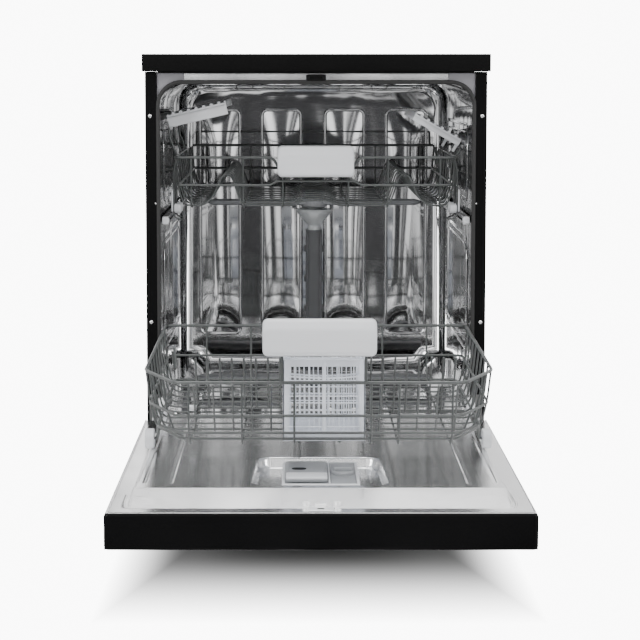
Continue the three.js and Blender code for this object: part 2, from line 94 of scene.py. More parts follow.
def lamp(name, place, aim, size, power):
    """A square soft box that faces a point."""
    light = bpy.data.lights.new(name, "AREA")
    light.shape = "RECTANGLE"
    light.size, light.size_y = size
    light.energy = power
    item = bpy.data.objects.new(name, light)
    item.location = place
    direction = np.array(aim, float) - np.array(place, float)
    item.rotation_euler = Vector(direction).to_track_quat("-Z", "Y").to_euler()
    bpy.context.scene.collection.objects.link(item)


def windows(tree, way):
    """Tall windows and dark gaps round the room: a one-dimensional noise of the azimuth."""
    parts = linked(tree, "ShaderNodeSeparateXYZ", _0=way)
    turn = linked(tree, "ShaderNodeMath", [("operation", "ARCTAN2")],
                  _0=parts.outputs[1], _1=parts.outputs[0]).outputs[0]
    noise = linked(tree, "ShaderNodeTexNoise", [("noise_dimensions", "1D")], W=turn, Scale=13.0,
                   Detail=3.0).outputs[0]
    return parts, ramp(tree, noise, (0.45, (0.045, 0.045, 0.047)), (0.57, (1.0, 1.0, 1.0)))


def studio():
    """The world, the lamps and the floor."""
    world = bpy.data.worlds.new("studio")
    bpy.context.scene.world = world
    world.use_nodes = True
    tree = world.node_tree
    tree.nodes.clear()
    way = linked(tree, "ShaderNodeTexCoord").outputs["Generated"]
    parts, bands = windows(tree, way)
    rise = ramp(tree, linked(tree, "ShaderNodeMapRange", _0=parts.outputs[2], _1=-1.0, _2=1.0).outputs[0],
                (0.46, (0.55, 0.55, 0.55)), (0.53, (1.0, 1.0, 1.0)))
    room = linked(tree, "ShaderNodeMix", [("data_type", "RGBA"), ("blend_type", "MULTIPLY")],
                  _0=1.0, _6=bands, _7=rise).outputs[2]
    ray = linked(tree, "ShaderNodeLightPath")
    glossy = linked(tree, "ShaderNodeBackground", _0=room, _1=3.2).outputs[0]
    soft = linked(tree, "ShaderNodeBackground", _0=(1, 1, 1, 1), _1=0.6).outputs[0]
    white = linked(tree, "ShaderNodeBackground", _0=(1, 1, 1, 1), _1=10.0).outputs[0]
    lit = linked(tree, "ShaderNodeMixShader", _0=ray.outputs["Is Glossy Ray"], _1=soft,
                 _2=glossy).outputs[0]
    mixed = linked(tree, "ShaderNodeMixShader", _0=ray.outputs["Is Camera Ray"], _1=lit,
                   _2=white).outputs[0]
    linked(tree, "ShaderNodeOutputWorld", _0=mixed)

    lamp("overhead", (0, -0.3, 3.0), (0, 0.1, 0), (2.4, 2.4), 95)
    lamp("left_box", (-2.2, -2.6, 1.9), (0, 0, 0.5), (0.7, 1.8), 60)
    lamp("right_box", (2.4, -2.4, 1.7), (0, 0, 0.4), (0.6, 1.8), 48)

    # Painted shadow: to the camera the floor is a dim diffuse in a strip 0.4 m wide from just in front of
    # the door back under the cabinet, fading out sideways and forwards into the white glow. The lamps' real
    # shadow also falls on that dim part.
    shade_x, shade_y, shade_power = (0.2, 0.34), (front - 0.05, front - 0.47), 3.5
    cloth = bpy.data.materials.new("studio_floor")
    cloth.use_nodes = True
    tree = cloth.node_tree
    shader = tree.nodes["Principled BSDF"]
    place = linked(tree, "ShaderNodeTexCoord").outputs["Object"]
    mottle = linked(tree, "ShaderNodeTexNoise", Vector=place, Scale=1.5).outputs[0]
    paper = ramp(tree, mottle, (0.3, (0.88, 0.88, 0.88)), (0.7, (0.92, 0.92, 0.92)))
    shader.inputs["Roughness"].default_value = 0.9
    tree.links.new(paper, shader.inputs["Base Color"])
    painted_shadow_floor = linked(tree, "ShaderNodeBsdfDiffuse", Color=(0.3, 0.3, 0.3, 1)).outputs[0]
    white = linked(tree, "ShaderNodeEmission", Color=(1, 1, 1, 1), Strength=10.0).outputs[0]
    parts, bands = windows(tree, place)
    aside = linked(tree, "ShaderNodeMath", [("operation", "ABSOLUTE")], _0=parts.outputs[0]).outputs[0]
    beside = linked(tree, "ShaderNodeMapRange", _0=aside, _1=shade_x[0], _2=shade_x[1]).outputs[0]
    before = linked(tree, "ShaderNodeMapRange", _0=parts.outputs[1], _1=shade_y[0],
                    _2=shade_y[1]).outputs[0]
    shadow_fade = linked(tree, "ShaderNodeMath", [("operation", "MAXIMUM")], _0=beside, _1=before).outputs[0]
    shadow_fade = linked(tree, "ShaderNodeMath", [("operation", "POWER")], _0=shadow_fade, _1=shade_power).outputs[0]
    painted_shadow_floor = linked(tree, "ShaderNodeMixShader", _0=shadow_fade, _1=painted_shadow_floor, _2=white).outputs[0]
    ray = linked(tree, "ShaderNodeLightPath")
    mirrored = linked(tree, "ShaderNodeEmission", Color=bands, Strength=1.7).outputs[0]
    both = linked(tree, "ShaderNodeMixShader", _0=ray.outputs["Is Glossy Ray"], _1=shader.outputs[0],
                  _2=mirrored).outputs[0]
    both = linked(tree, "ShaderNodeMixShader", _0=ray.outputs["Is Camera Ray"], _1=both,
                  _2=painted_shadow_floor).outputs[0]
    tree.links.new(both, tree.nodes["Material Output"].inputs["Surface"])
    mesh = bpy.data.meshes.new("studio_floor")
    reach = 8
    mesh.from_pydata([(-reach, -reach, 0), (reach, -reach, 0), (reach, reach, 0), (-reach, reach, 0)],
                     [], [(0, 1, 2, 3)])
    mesh.materials.append(cloth)
    floor = bpy.data.objects.new("studio_floor", mesh)
    bpy.context.scene.collection.objects.link(floor)


studio()

# ---- Worktop ----
# A black laminated board with a softened front edge, screwed down from inside the cabinet. It
# stands a little forward of the sides, over the closed door.


def finish(name, dark, light, rough, metal=0.0, grain=900.0, bump=0.08, cloud=6.0, coat=0.0,
           gloss=0.5, through=0.0):
    """A surface whose colour drifts between two tones in a broad noise, with a fine moulded or
    pressed grain that moves the roughness a little and lifts the surface by a hair."""
    made = bpy.data.materials.new(name)
    made.use_nodes = True
    tree = made.node_tree
    shader = tree.nodes["Principled BSDF"]
    place = linked(tree, "ShaderNodeTexCoord").outputs["Object"]
    drift = linked(tree, "ShaderNodeTexNoise", Vector=place, Scale=cloud, Detail=3.0).outputs[0]
    fine = linked(tree, "ShaderNodeTexNoise", Vector=place, Scale=grain, Detail=2.0).outputs[0]
    tree.links.new(ramp(tree, drift, (0.3, dark), (0.7, light)), shader.inputs["Base Color"])
    spread = linked(tree, "ShaderNodeMapRange", _0=fine, _1=0.3, _2=0.7, _3=rough - 0.03,
                    _4=rough + 0.03).outputs[0]
    tree.links.new(spread, shader.inputs["Roughness"])
    lift = linked(tree, "ShaderNodeBump", Strength=bump, Distance=0.0004, Height=fine).outputs[0]
    tree.links.new(lift, shader.inputs["Normal"])
    shader.inputs["Metallic"].default_value = metal
    shader.inputs["Coat Weight"].default_value = coat
    shader.inputs["Coat Roughness"].default_value = 0.12
    shader.inputs["Specular IOR Level"].default_value = gloss
    shader.inputs["Transmission Weight"].default_value = through
    return made


def skin(rings, capped=True, looped=False):
    """Four-sided faces between each ring of points and the next, and one face over each end."""
    rings = np.asarray(rings, float)
    count, around = rings.shape[:2]
    last = count if looped else count - 1
    i, j = np.meshgrid(np.arange(last), np.arange(around), indexing="ij")
    k, n = (j + 1) % around, (i + 1) % count
    quads = np.stack([i * around + j, i * around + k, n * around + k, n * around + j], -1)
    faces = quads.reshape(-1, 4).tolist()
    if capped and not looped:
        faces += [list(range(around))[::-1], list(range((count - 1) * around, count * around))]
    return rings.reshape(-1, 3), faces


def piece(name, parts, material, body, stands_for=(), crease=32, closed=True):
    """One named piece from several skins, riding on a body, with its flat and round faces told
    apart by the angle between them."""
    points, faces, start = [], [], 0
    for some_points, some_faces in parts:
        points.append(some_points)
        faces += [[start + v for v in face] for face in some_faces]
        start += len(some_points)
    mesh = bpy.data.meshes.new(name)
    mesh.from_pydata(np.concatenate(points).tolist(), [], faces)
    if closed:
        work = bmesh.new()
        work.from_mesh(mesh)
        bmesh.ops.recalc_face_normals(work, faces=work.faces)
        work.to_mesh(mesh)
        work.free()
    mesh.polygons.foreach_set("use_smooth", [True] * len(mesh.polygons))
    mesh.set_sharp_from_angle(angle=math.radians(crease))
    mesh.materials.append(material)
    item = bpy.data.objects.new(name, mesh)
    bpy.context.scene.collection.objects.link(item)
    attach(item, body)
    if stands_for:
        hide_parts(*stands_for)
    return item


def rounded(width, height, radius, steps=5):
    """The outline of a rectangle about its centre, each corner a quarter circle."""
    radius = max(min(radius, width / 2 - 1e-5, height / 2 - 1e-5), 1e-5)
    turn = np.linspace(0, math.pi / 2, steps + 1)
    corner = radius * np.stack([np.cos(turn), np.sin(turn)], -1)
    centres = [(1, 1, 0), (-1, 1, 1), (-1, -1, 2), (1, -1, 3)]
    spin = lambda p, q: p @ np.array([[math.cos(q * math.pi / 2), math.sin(q * math.pi / 2)],
                                      [-math.sin(q * math.pi / 2), math.cos(q * math.pi / 2)]])
    return np.concatenate([spin(corner, q) + (sx * (width / 2 - radius), sy * (height / 2 - radius))
                           for sx, sy, q in centres])


def block(lo, hi, axis=2, corner=0.004, edge=0.0015, steps=4, turns=5):
    """A solid between two corners with a rounded outline across an axis. Near each end the outline
    draws in along a quarter circle."""
    lo, hi = np.minimum(lo, hi).astype(float), np.maximum(lo, hi).astype(float)
    others = [a for a in range(3) if a != axis]
    size, middle = (hi - lo)[others], ((hi + lo) / 2)[others]
    turn = np.linspace(0, math.pi / 2, steps + 1)
    inset = edge * (1 - np.sin(turn))
    rise = edge * (1 - np.cos(turn))
    levels = np.concatenate([lo[axis] + rise, hi[axis] - rise[::-1]])
    insets = np.concatenate([inset, inset[::-1]])
    rings = np.empty((len(levels), 4 * (turns + 1), 3))
    for ring, level, pull in zip(rings, levels, insets):
        ring[:, others] = rounded(*(size - 2 * pull), max(corner - pull, 1e-4), turns) + middle
        ring[:, axis] = level
    return skin(rings)


enamel = finish("black_enamel", (0.0015, 0.0015, 0.0017), (0.0025, 0.0025, 0.0027), 0.3,
                grain=1400, bump=0.05, gloss=0.08)
laminate = finish("black_laminate", (0.0015, 0.0015, 0.0015), (0.0025, 0.0025, 0.0025), 0.42,
                  grain=700, bump=0.12, gloss=0.07)
lo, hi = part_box("worktop")
edge_strip = block((lo.x, lo.y, lo.z), (hi.x, lo.y + 0.0012, hi.z), axis=1, corner=0.0015, edge=0.0004)
piece("worktop_board", [block((lo.x, lo.y + 0.001, lo.z), hi, corner=0.005, edge=0.0022), edge_strip],
      laminate, "cabinet", ["worktop"])

# ---- Cabinet sheets ----
# Two enamelled side sheets with a flange folded in along the front, a zinc-plated sheet behind, and
# a moulded tray below on four levelling feet. Screws hold the flanges to the frame.


def eased(node, name, width, material, body="cabinet"):
    """A copy of a plain node with its doubles merged, its flats made whole and its edges eased."""
    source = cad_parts[node].data
    work = bmesh.new()
    work.from_mesh(source)
    bmesh.ops.remove_doubles(work, verts=work.verts, dist=1e-6)
    bmesh.ops.dissolve_limit(work, angle_limit=math.radians(1), verts=work.verts, edges=work.edges)
    sharp = [e for e in work.edges if len(e.link_faces) == 2 and e.calc_face_angle(0) > 0.6]
    if width:
        bmesh.ops.bevel(work, geom=sharp, offset=width, segments=2, profile=0.6, affect="EDGES",
                        clamp_overlap=True)
    mesh = bpy.data.meshes.new(name)
    work.to_mesh(mesh)
    work.free()
    mesh.materials.clear()
    mesh.materials.append(material)
    mesh.polygons.foreach_set("use_smooth", [True] * len(mesh.polygons))
    mesh.set_sharp_from_angle(angle=math.radians(35))
    item = bpy.data.objects.new(name, mesh)
    bpy.context.scene.collection.objects.link(item)
    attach(item, body)
    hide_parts(node)
    return item


def lathe(profile, centre, axis=2, sides=28):
    """A turned solid: each (radius, place along the axis) of the profile becomes a circle."""
    profile = np.array(profile, float)
    turn = np.linspace(0, 2 * math.pi, sides, endpoint=False)
    others = [a for a in range(3) if a != axis]
    rings = np.zeros((len(profile), sides, 3))
    rings[:, :, others[0]] = profile[:, :1] * np.cos(turn) + centre[others[0]]
    rings[:, :, others[1]] = profile[:, :1] * np.sin(turn) + centre[others[1]]
    rings[:, :, axis] = profile[:, 1:] + centre[axis]
    return skin(rings)


def dome(radius, height, rows=5):
    """The profile of a low domed head, from its rim to its crown."""
    turn = np.linspace(0, math.pi / 2 * 0.97, rows)
    return list(zip(radius * np.cos(turn), height * np.sin(turn)))


zinc = finish("zinc_sheet", (0.42, 0.43, 0.44), (0.56, 0.57, 0.58), 0.38, metal=1.0, grain=260,
              bump=0.05, cloud=22)
moulding = finish("black_moulding", (0.003, 0.003, 0.0032), (0.005, 0.005, 0.0052), 0.45,
                  grain=1100, bump=0.15, gloss=0.15)
bright_steel = finish("screw_steel", (0.6, 0.6, 0.6), (0.75, 0.75, 0.75), 0.22, metal=1.0, grain=600)

for word in ("left", "right"):
    eased(f"side_panel_{word}", f"side_sheet_{word}", 0.0, enamel)
eased("kickplate", "kick_plate", 0.0004, enamel)
eased("base_tray", "base_moulding", 0.0012, moulding)

screws = []
flange_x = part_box("side_panel_right")[1].x - 0.0085
for side in (-1, 1):
    for height, size in ((0.738, 0.0035), (0.378, 0.0035), (0.586, 0.0016)):
        inward = 0.0 if size > 0.002 else 0.009
        head = [(size, 0.0), (size, -0.0006)] + [(r, -0.0006 - h) for r, h in dome(size, size * 0.5)]
        screws.append(lathe(head, (side * (flange_x - inward), front, height), axis=1, sides=16))
piece("flange_screws", screws, bright_steel, "cabinet")

lo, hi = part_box("back_panel")
ribs = [block((x - 0.011, hi.y - 0.0005, lo.z + 0.06), (x + 0.011, hi.y + 0.0022, hi.z - 0.08),
              axis=1, corner=0.011, edge=0.002) for x in np.linspace(-0.2, 0.2, 5)]
vents = [block((x - 0.02, hi.y, lo.z + 0.022), (x + 0.02, hi.y + 0.0025, lo.z + 0.028), axis=1,
               corner=0.003, edge=0.0012) for x in np.linspace(-0.24, 0.24, 9)]
piece("rear_sheet", [block(lo, hi, axis=1, corner=0.004, edge=0.0005), *ribs, *vents], zinc,
      "cabinet", ["back_panel"])
rear_screws = [lathe([(0.0042, 0.0), (0.0042, 0.0008)] + [(r, 0.0008 + h) for r, h in dome(0.004, 0.0018)],
                     (x, hi.y, z), axis=1, sides=16)
               for x in (lo.x + 0.012, hi.x - 0.012) for z in np.linspace(lo.z + 0.015, hi.z - 0.015, 4)]
piece("rear_sheet_screws", rear_screws, bright_steel, "cabinet")

for corner in ("front_left", "front_right", "rear_left", "rear_right"):
    lo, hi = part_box(f"foot_{corner}")
    middle = ((lo.x + hi.x) / 2, (lo.y + hi.y) / 2, 0)
    profile = [(0.0175, 0.0), (0.02, 0.0015), (0.02, 0.005), (0.016, 0.0075), (0.009, 0.008)]
    turns = np.arange(10)
    profile += [(0.0062 + 0.0009 * (t % 2), 0.0085 + 0.0013 * t) for t in turns]
    profile += [(0.0062, hi.z)]
    piece(f"levelling_foot_{corner}", [lathe(profile, middle)], moulding, "cabinet",
          [f"foot_{corner}"])

# ---- Tub ----
# Polished stainless steel, deep drawn with round corners, its ceiling, back and sides pressed with
# long raised panels that stiffen the thin sheet. A ledge along each side carries the lower rack.


def polished(name, dark, light, rough, ripple=0.35, grain=0.06):
    """Mirror steel whose long slow ripples bend what it reflects, under a trace of fine polish
    lines. The ripple is a stretched noise fed to the bump, and the tone drifts a little."""
    made = bpy.data.materials.new(name)
    made.use_nodes = True
    tree = made.node_tree
    shader = tree.nodes["Principled BSDF"]
    place = linked(tree, "ShaderNodeTexCoord").outputs["Object"]
    long = linked(tree, "ShaderNodeMapping", Vector=place, Scale=(9.0, 9.0, 1.6)).outputs[0]
    slow = linked(tree, "ShaderNodeTexNoise", Vector=long, Scale=1.0, Detail=1.5).outputs[0]
    lines = linked(tree, "ShaderNodeMapping", Vector=place, Scale=(60.0, 900.0, 900.0)).outputs[0]
    fine = linked(tree, "ShaderNodeTexNoise", Vector=lines, Scale=1.0, Detail=2.0).outputs[0]
    tree.links.new(ramp(tree, slow, (0.35, dark), (0.65, light)), shader.inputs["Base Color"])
    spread = linked(tree, "ShaderNodeMapRange", _0=fine, _1=0.3, _2=0.7, _3=rough * 0.75,
                    _4=rough * 1.3).outputs[0]
    tree.links.new(spread, shader.inputs["Roughness"])
    wide = linked(tree, "ShaderNodeBump", Strength=ripple, Distance=0.012, Height=slow).outputs[0]
    both = linked(tree, "ShaderNodeBump", Strength=grain, Distance=0.0002, Height=fine,
                  Normal=wide).outputs[0]
    tree.links.new(both, shader.inputs["Normal"])
    shader.inputs["Metallic"].default_value = 1.0
    return made


def frame_bead(outline, lift, width, rows=6):
    """A half-round bead pressed along a closed outline: at each of its points a half circle of
    the bead's width stands across the outline, and the foot of each side lies on the sheet."""
    outline = np.asarray(outline, float)
    ahead = np.roll(outline, -1, axis=0) - np.roll(outline, 1, axis=0)
    ahead /= np.linalg.norm(ahead, axis=1, keepdims=True)
    lift = np.asarray(lift, float)
    height = np.linalg.norm(lift)
    across = np.cross(ahead, lift / height)
    turn = np.linspace(0, math.pi, rows)[None, :, None]
    arch = np.cos(turn) * across[:, None] * width / 2 + np.sin(turn) * lift
    foot = -lift / height * 0.0008
    rings = np.concatenate([outline[:, None] + arch,
                            (outline - across * width / 2 + foot)[:, None],
                            (outline + across * width / 2 + foot)[:, None]], axis=1)
    return skin(rings, looped=True)


def panel_outline(centre, size, radius, plane):
    """A rounded rectangle in the plane of two axes, through a centre."""
    flat = rounded(*size, radius, 6)
    points = np.tile(np.array(centre, float), (len(flat), 1))
    points[:, plane[0]] += flat[:, 0]
    points[:, plane[1]] += flat[:, 1]
    return points


def crowned(x0, x1, z0, z1, depth, rise):
    """A pressed field on the back wall: its face swells by a parabola across its width, and falls
    back to the wall over the last part of its height."""
    across, up = np.linspace(-1, 1, 17), np.linspace(-1, 1, 13)
    swell = rise * (1 - across[:, None] ** 2) * (1 - up[None] ** 8)
    rings = []
    for x, bulge in zip(np.linspace(x0, x1, 17), swell):
        face = np.stack([np.full(13, x), depth - 0.0002 - bulge, np.linspace(z0, z1, 13)], -1)
        rings.append(np.concatenate([face, [(x, depth + 0.0008, z1), (x, depth + 0.0008, z0)]]))
    return skin(rings)


mirror_steel = polished("mirror_steel", (0.46, 0.463, 0.467), (0.62, 0.622, 0.625), 0.055, ripple=0.16,
                        grain=0.02)
tub_lo, tub_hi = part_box("tub")
sheet = 0.0015
rim = 0.0045
half = tub_hi.x - rim
ceiling = tub_hi.z - 0.0027
rear = tub_hi.y - sheet
ledge = 0.227
ledge_half = 0.243
tub_floor = tub_lo.z + sheet
arch_radius = 0.04


def tub_section(shrink, y, steps=10):
    """The tub's inner outline at one depth: two ledges below, two quarter circles above."""
    turn = np.linspace(0, math.pi / 2, steps + 1)
    arc = arch_radius * np.stack([np.cos(turn), np.sin(turn)], -1)
    right = arc + (half - arch_radius, ceiling - arch_radius)
    left = arc[::-1] * (-1, 1) + (-half + arch_radius, ceiling - arch_radius)
    low = np.array([(-half, ledge), (-ledge_half - 0.006, ledge), (-ledge_half, ledge - 0.006),
                    (-ledge_half, tub_floor + 0.02), (-ledge_half + 0.02, tub_floor),
                    (ledge_half - 0.02, tub_floor), (ledge_half, tub_floor + 0.02),
                    (ledge_half, ledge - 0.006), (ledge_half + 0.006, ledge), (half, ledge)])
    flat = np.concatenate([right, left, low])
    middle = np.array([0, (ceiling + tub_floor) / 2])
    scale = 1 - shrink / np.array([half, (ceiling - tub_floor) / 2])
    flat = middle + (flat - middle) * scale
    return np.insert(flat, 1, y, axis=1)


def tub_shell():
    """The inner skin from the mouth to the back, where it turns in over a quarter circle, then the
    outer skin forward again, one sheet thickness outside it."""
    turn = np.linspace(0, math.pi / 2, 7)
    bend = 0.022
    inner = [tub_section(0, front + 0.0016)]
    inner += [tub_section(bend * (1 - math.cos(t)), rear - bend + bend * math.sin(t)) for t in turn]
    outer = [tub_section(bend * (1 - math.cos(t)) - sheet, rear - bend + (bend + sheet) * math.sin(t))
             for t in turn[::-1]]
    outer += [tub_section(-sheet, front + 0.0016)]
    return inner, outer


inner, outer = tub_shell()
points, faces = skin(inner + outer, capped=False, looped=True)
around = len(inner[0])
closing = len(inner) * around  # the back wall's sheet lies between the last inner and first outer ring
faces = [f for f in faces if not (min(f) >= closing - around and max(f) < closing + around)]
back_inner = list(range(closing - around, closing))
back_outer = list(range(closing, closing + around))
shell = (points, faces + [back_inner[::-1], back_outer])

beads = []
for side in (-1, 1):
    for inner_x, outer_x in ((0.025, 0.105), (0.151, 0.233)):
        centre = (side * (inner_x + outer_x) / 2, rear, 0.5045)
        outline = panel_outline(centre, (outer_x - inner_x, 0.465), 0.012, (0, 2))
        beads.append(frame_bead(outline, (0, -0.0045, 0), 0.0075, 8))
        left, right = sorted((side * (inner_x + 0.003), side * (outer_x - 0.003)))
        beads.append(crowned(left, right, 0.276, 0.733, rear, 0.0022))
    for low, high in ((0.315, 0.52), (0.585, 0.72)):
        centre = (side * half, front + 0.27, (low + high) / 2)
        for inset, width in ((0.0, 0.007), (0.014, 0.004)):
            outline = panel_outline(centre, (0.40 - 2 * inset, high - low - 2 * inset), 0.03, (1, 2))
            beads.append(frame_bead(outline, (side * -0.0012, 0, 0), width))
for x in np.linspace(-0.17, 0.17, 4):
    for inset, width in ((0.0, 0.008), (0.015, 0.005)):
        outline = panel_outline((x, front + 0.27, ceiling), (0.082 - 2 * inset, 0.42 - 2 * inset), 0.02,
                                (0, 1))
        beads.append(frame_bead(outline, (0, 0, -0.0035), width))
lip = skin([tub_section(0, front + 0.003), tub_section(-0.0005, front + 0.0005), tub_section(-0.002, front),
            tub_section(-rim, front), tub_section(-rim, front + sheet), tub_section(-0.001, front + 0.003)],
           looped=True)
piece("tub_shell", [shell, lip, *beads], mirror_steel, "cabinet", ["tub"], crease=40)

rubber = finish("black_rubber", (0.006, 0.006, 0.006), (0.010, 0.010, 0.010), 0.62, grain=900, bump=0.2)


def gasket_outline(grow, y):
    """The tub's outline without its floor, grown by a distance: up one side, over, and down."""
    section = tub_section(-grow, y)
    return section[section[:, 2] >= ledge - 0.004]


def gasket():
    """A hollow bulb of rubber carried round the mouth: a small circle stands across the outline at
    each of its points."""
    path = gasket_outline(0.0025, front - 0.0018)
    turn = np.arctan2(path[:, 0], path[:, 2] - 0.5)
    path = path[np.argsort(turn)]
    path = path[(path[:, 2] > ledge + 0.002) | (np.abs(path[:, 0]) > half)]
    ahead = np.gradient(path, axis=0)
    ahead /= np.linalg.norm(ahead, axis=1, keepdims=True)
    across = np.cross(ahead, (0, 1, 0))
    spin = np.linspace(0, 2 * math.pi, 10, endpoint=False)[None, :, None]
    depth = np.array((0, 0.0016, 0))
    rings = path[:, None] + np.cos(spin) * across[:, None] * 0.0035 + np.sin(spin) * depth
    return skin(rings)


piece("mouth_gasket", [gasket()], rubber, "cabinet", ["tub_gasket"])

# ---- Front of the cabinet above the tub ----
# A polished rail crosses the top of the opening, with the black catch that the door's latch enters,
# in front of a grey plate that closes the corners beside the tub.

lo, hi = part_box("top_rail")
plain_steel = polished("plain_steel", (0.42, 0.42, 0.425), (0.58, 0.58, 0.585), 0.2, ripple=0.2)
piece("top_strip",
      [block((lo.x, lo.y, lo.z), (hi.x, lo.y + sheet, hi.z), axis=0, corner=0.0006, edge=0.0004),
       block((lo.x, lo.y + 0.001, hi.z - 0.0015), hi, axis=0, corner=0.0006, edge=0.0004)], plain_steel,
      "cabinet", ["top_rail"])

batten = block((-0.274, lo.y - 0.001, hi.z - 0.0002), (0.274, hi.y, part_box("worktop")[0].z), axis=0,
               corner=0.0006, edge=0.0003)
piece("worktop_batten", [batten], moulding, "cabinet")

bracket = finish("grey_plate", (0.24, 0.235, 0.255), (0.30, 0.295, 0.315), 0.4, metal=0.2, grain=900,
                 bump=0.05)
for word, side in (("left", -1), ("right", 1)):
    turn = np.linspace(0, math.pi / 2, 11)
    reach = arch_radius + 0.002
    arc = reach * np.stack([np.cos(turn), np.sin(turn)], -1) + (half - arch_radius, ceiling - arch_radius)
    flat = np.concatenate([arc, [(0.20, ceiling + 0.002), (0.20, hi.z), (half + rim, hi.z),
                                 (half + rim, ceiling - arch_radius)]])
    rings = [np.insert(flat * (side, 1), 1, y, axis=1) for y in (front + 0.0046, front + 0.006)]
    piece(f"corner_plate_{word}", [skin(rings)], bracket, "cabinet")

lo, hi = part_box("latch_strike")
catch = [block(lo, (lo.x + 0.006, hi.y, hi.z), axis=1, corner=0.002, edge=0.001),
         block((hi.x - 0.006, lo.y, lo.z), hi, axis=1, corner=0.002, edge=0.001),
         block((lo.x + 0.003, lo.y, hi.z - 0.003), (hi.x - 0.003, hi.y, hi.z), axis=0, corner=0.001,
               edge=0.001),
         block((lo.x + 0.003, lo.y, lo.z), (hi.x - 0.003, hi.y, lo.z + 0.003), axis=0, corner=0.001,
               edge=0.001),
         block((lo.x + 0.004, hi.y - 0.003, lo.z + 0.001), (hi.x - 0.004, hi.y, hi.z - 0.001), axis=1,
               corner=0.001, edge=0.0006)]
piece("door_catch", catch, moulding, "cabinet", ["latch_strike"])

# ---- Spray duct ----
# A grey moulded channel clipped up the middle of the back wall, which carries water from the pump
# to the upper arm. Two raised edges run up its face.

grey_moulding = finish("grey_moulding", (0.17, 0.175, 0.185), (0.22, 0.226, 0.236), 0.42, grain=1300,
                       bump=0.1)
lo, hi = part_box("spray_duct")
duct = [block((lo.x, lo.y + 0.003, lo.z), hi, corner=0.008, edge=0.003),
        block((lo.x + 0.001, lo.y, lo.z + 0.004), (lo.x + 0.006, lo.y + 0.008, hi.z - 0.004), corner=0.002,
              edge=0.002),
        block((hi.x - 0.006, lo.y, lo.z + 0.004), (hi.x - 0.001, lo.y + 0.008, hi.z - 0.004), corner=0.002,
              edge=0.002)]
for z in np.linspace(lo.z + 0.06, hi.z - 0.04, 4):
    duct.append(block((lo.x - 0.004, lo.y + 0.008, z - 0.006), (hi.x + 0.004, hi.y, z + 0.006), axis=2,
                      corner=0.003, edge=0.0015))
piece("spray_duct_moulding", duct, grey_moulding, "cabinet", ["spray_duct"])

# ---- Sump, filters and salt cap ----
# The floor drains to a round sump under a fine pierced plate. A threaded filter cup lifts out of it,
# and the salt container beside it is closed by a ribbed cap with a cross grip.

lo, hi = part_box("sump_housing")
centre = ((lo.x + hi.x) / 2, (lo.y + hi.y) / 2, 0)
reach = (hi.x - lo.x) / 2
post_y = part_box("lower_spray_arm")
post_y = (post_y[0].y + post_y[1].y) / 2
cup_profile = [(0.001, lo.z), (reach * 0.94, lo.z), (reach, lo.z + 0.006), (reach, 0.2012), (0.092, 0.2012),
               (0.092, 0.14), (0.08, 0.129), (0.001, 0.128)]
post_profile = [(0.001, 0.127), (0.016, 0.127), (0.012, 0.14), (0.012, hi.z - 0.001), (0.0105, hi.z),
                (0.001, hi.z)]
piece("sump_bowl", [lathe(cup_profile, centre, sides=48), lathe(post_profile, (0, post_y, 0), sides=20)],
      grey_moulding, "cabinet", ["sump_housing"])

lo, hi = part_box("filter_plate")
pierced = bpy.data.materials.new("pierced_steel")
pierced.use_nodes = True
tree = pierced.node_tree
place = linked(tree, "ShaderNodeTexCoord").outputs["Object"]
holes = linked(tree, "ShaderNodeTexVoronoi", [("feature", "F1")], Vector=place, Scale=420.0,
               Randomness=0.0).outputs[0]
# Painted shade: the steel turns near black in a round spot at the middle of each cell, for the dark seen
# through holes that are not cut.
painted_hole_shade = ramp(tree, holes, (0.28, (0.02, 0.02, 0.02)), (0.36, (0.5, 0.5, 0.5)))
tree.links.new(painted_hole_shade, tree.nodes["Principled BSDF"].inputs["Base Color"])
tree.nodes["Principled BSDF"].inputs["Metallic"].default_value = 0.9
tree.nodes["Principled BSDF"].inputs["Roughness"].default_value = 0.28
tree.links.new(linked(tree, "ShaderNodeBump", Strength=0.5, Distance=0.0004, Height=holes).outputs[0],
               tree.nodes["Principled BSDF"].inputs["Normal"])
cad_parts["filter_plate"].material_slots[0].material = pierced

lo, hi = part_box("filter_cup")
centre = ((lo.x + hi.x) / 2, (lo.y + hi.y) / 2, 0)
reach = (hi.x - lo.x) / 2
cup = [(0.001, lo.z + 0.003), (reach - 0.003, lo.z + 0.003), (reach - 0.003, hi.z - 0.001),
       (reach - 0.002, hi.z), (reach, hi.z - 0.001), (reach, hi.z - 0.006), (reach - 0.0015, hi.z - 0.008),
       (reach - 0.0015, lo.z + 0.004), (reach - 0.004, lo.z), (0.001, lo.z)]
ribs = [block((centre[0] + math.cos(t) * (reach - 0.006) - 0.002,
               centre[1] + math.sin(t) * (reach - 0.006) - 0.002, hi.z - 0.02),
              (centre[0] + math.cos(t) * (reach - 0.006) + 0.002,
               centre[1] + math.sin(t) * (reach - 0.006) + 0.002, hi.z - 0.0005), corner=0.001,
              edge=0.0008) for t in np.linspace(0, 2 * math.pi, 12, endpoint=False)]
grip = block((lo.x + 0.003, centre[1] - 0.003, hi.z - 0.014), (hi.x - 0.003, centre[1] + 0.003, hi.z),
             axis=0, corner=0.0025, edge=0.001)
piece("filter_cup_moulding", [lathe(cup, centre, sides=40), grip, *ribs], grey_moulding, "filter_cup",
      ["filter_cup"])

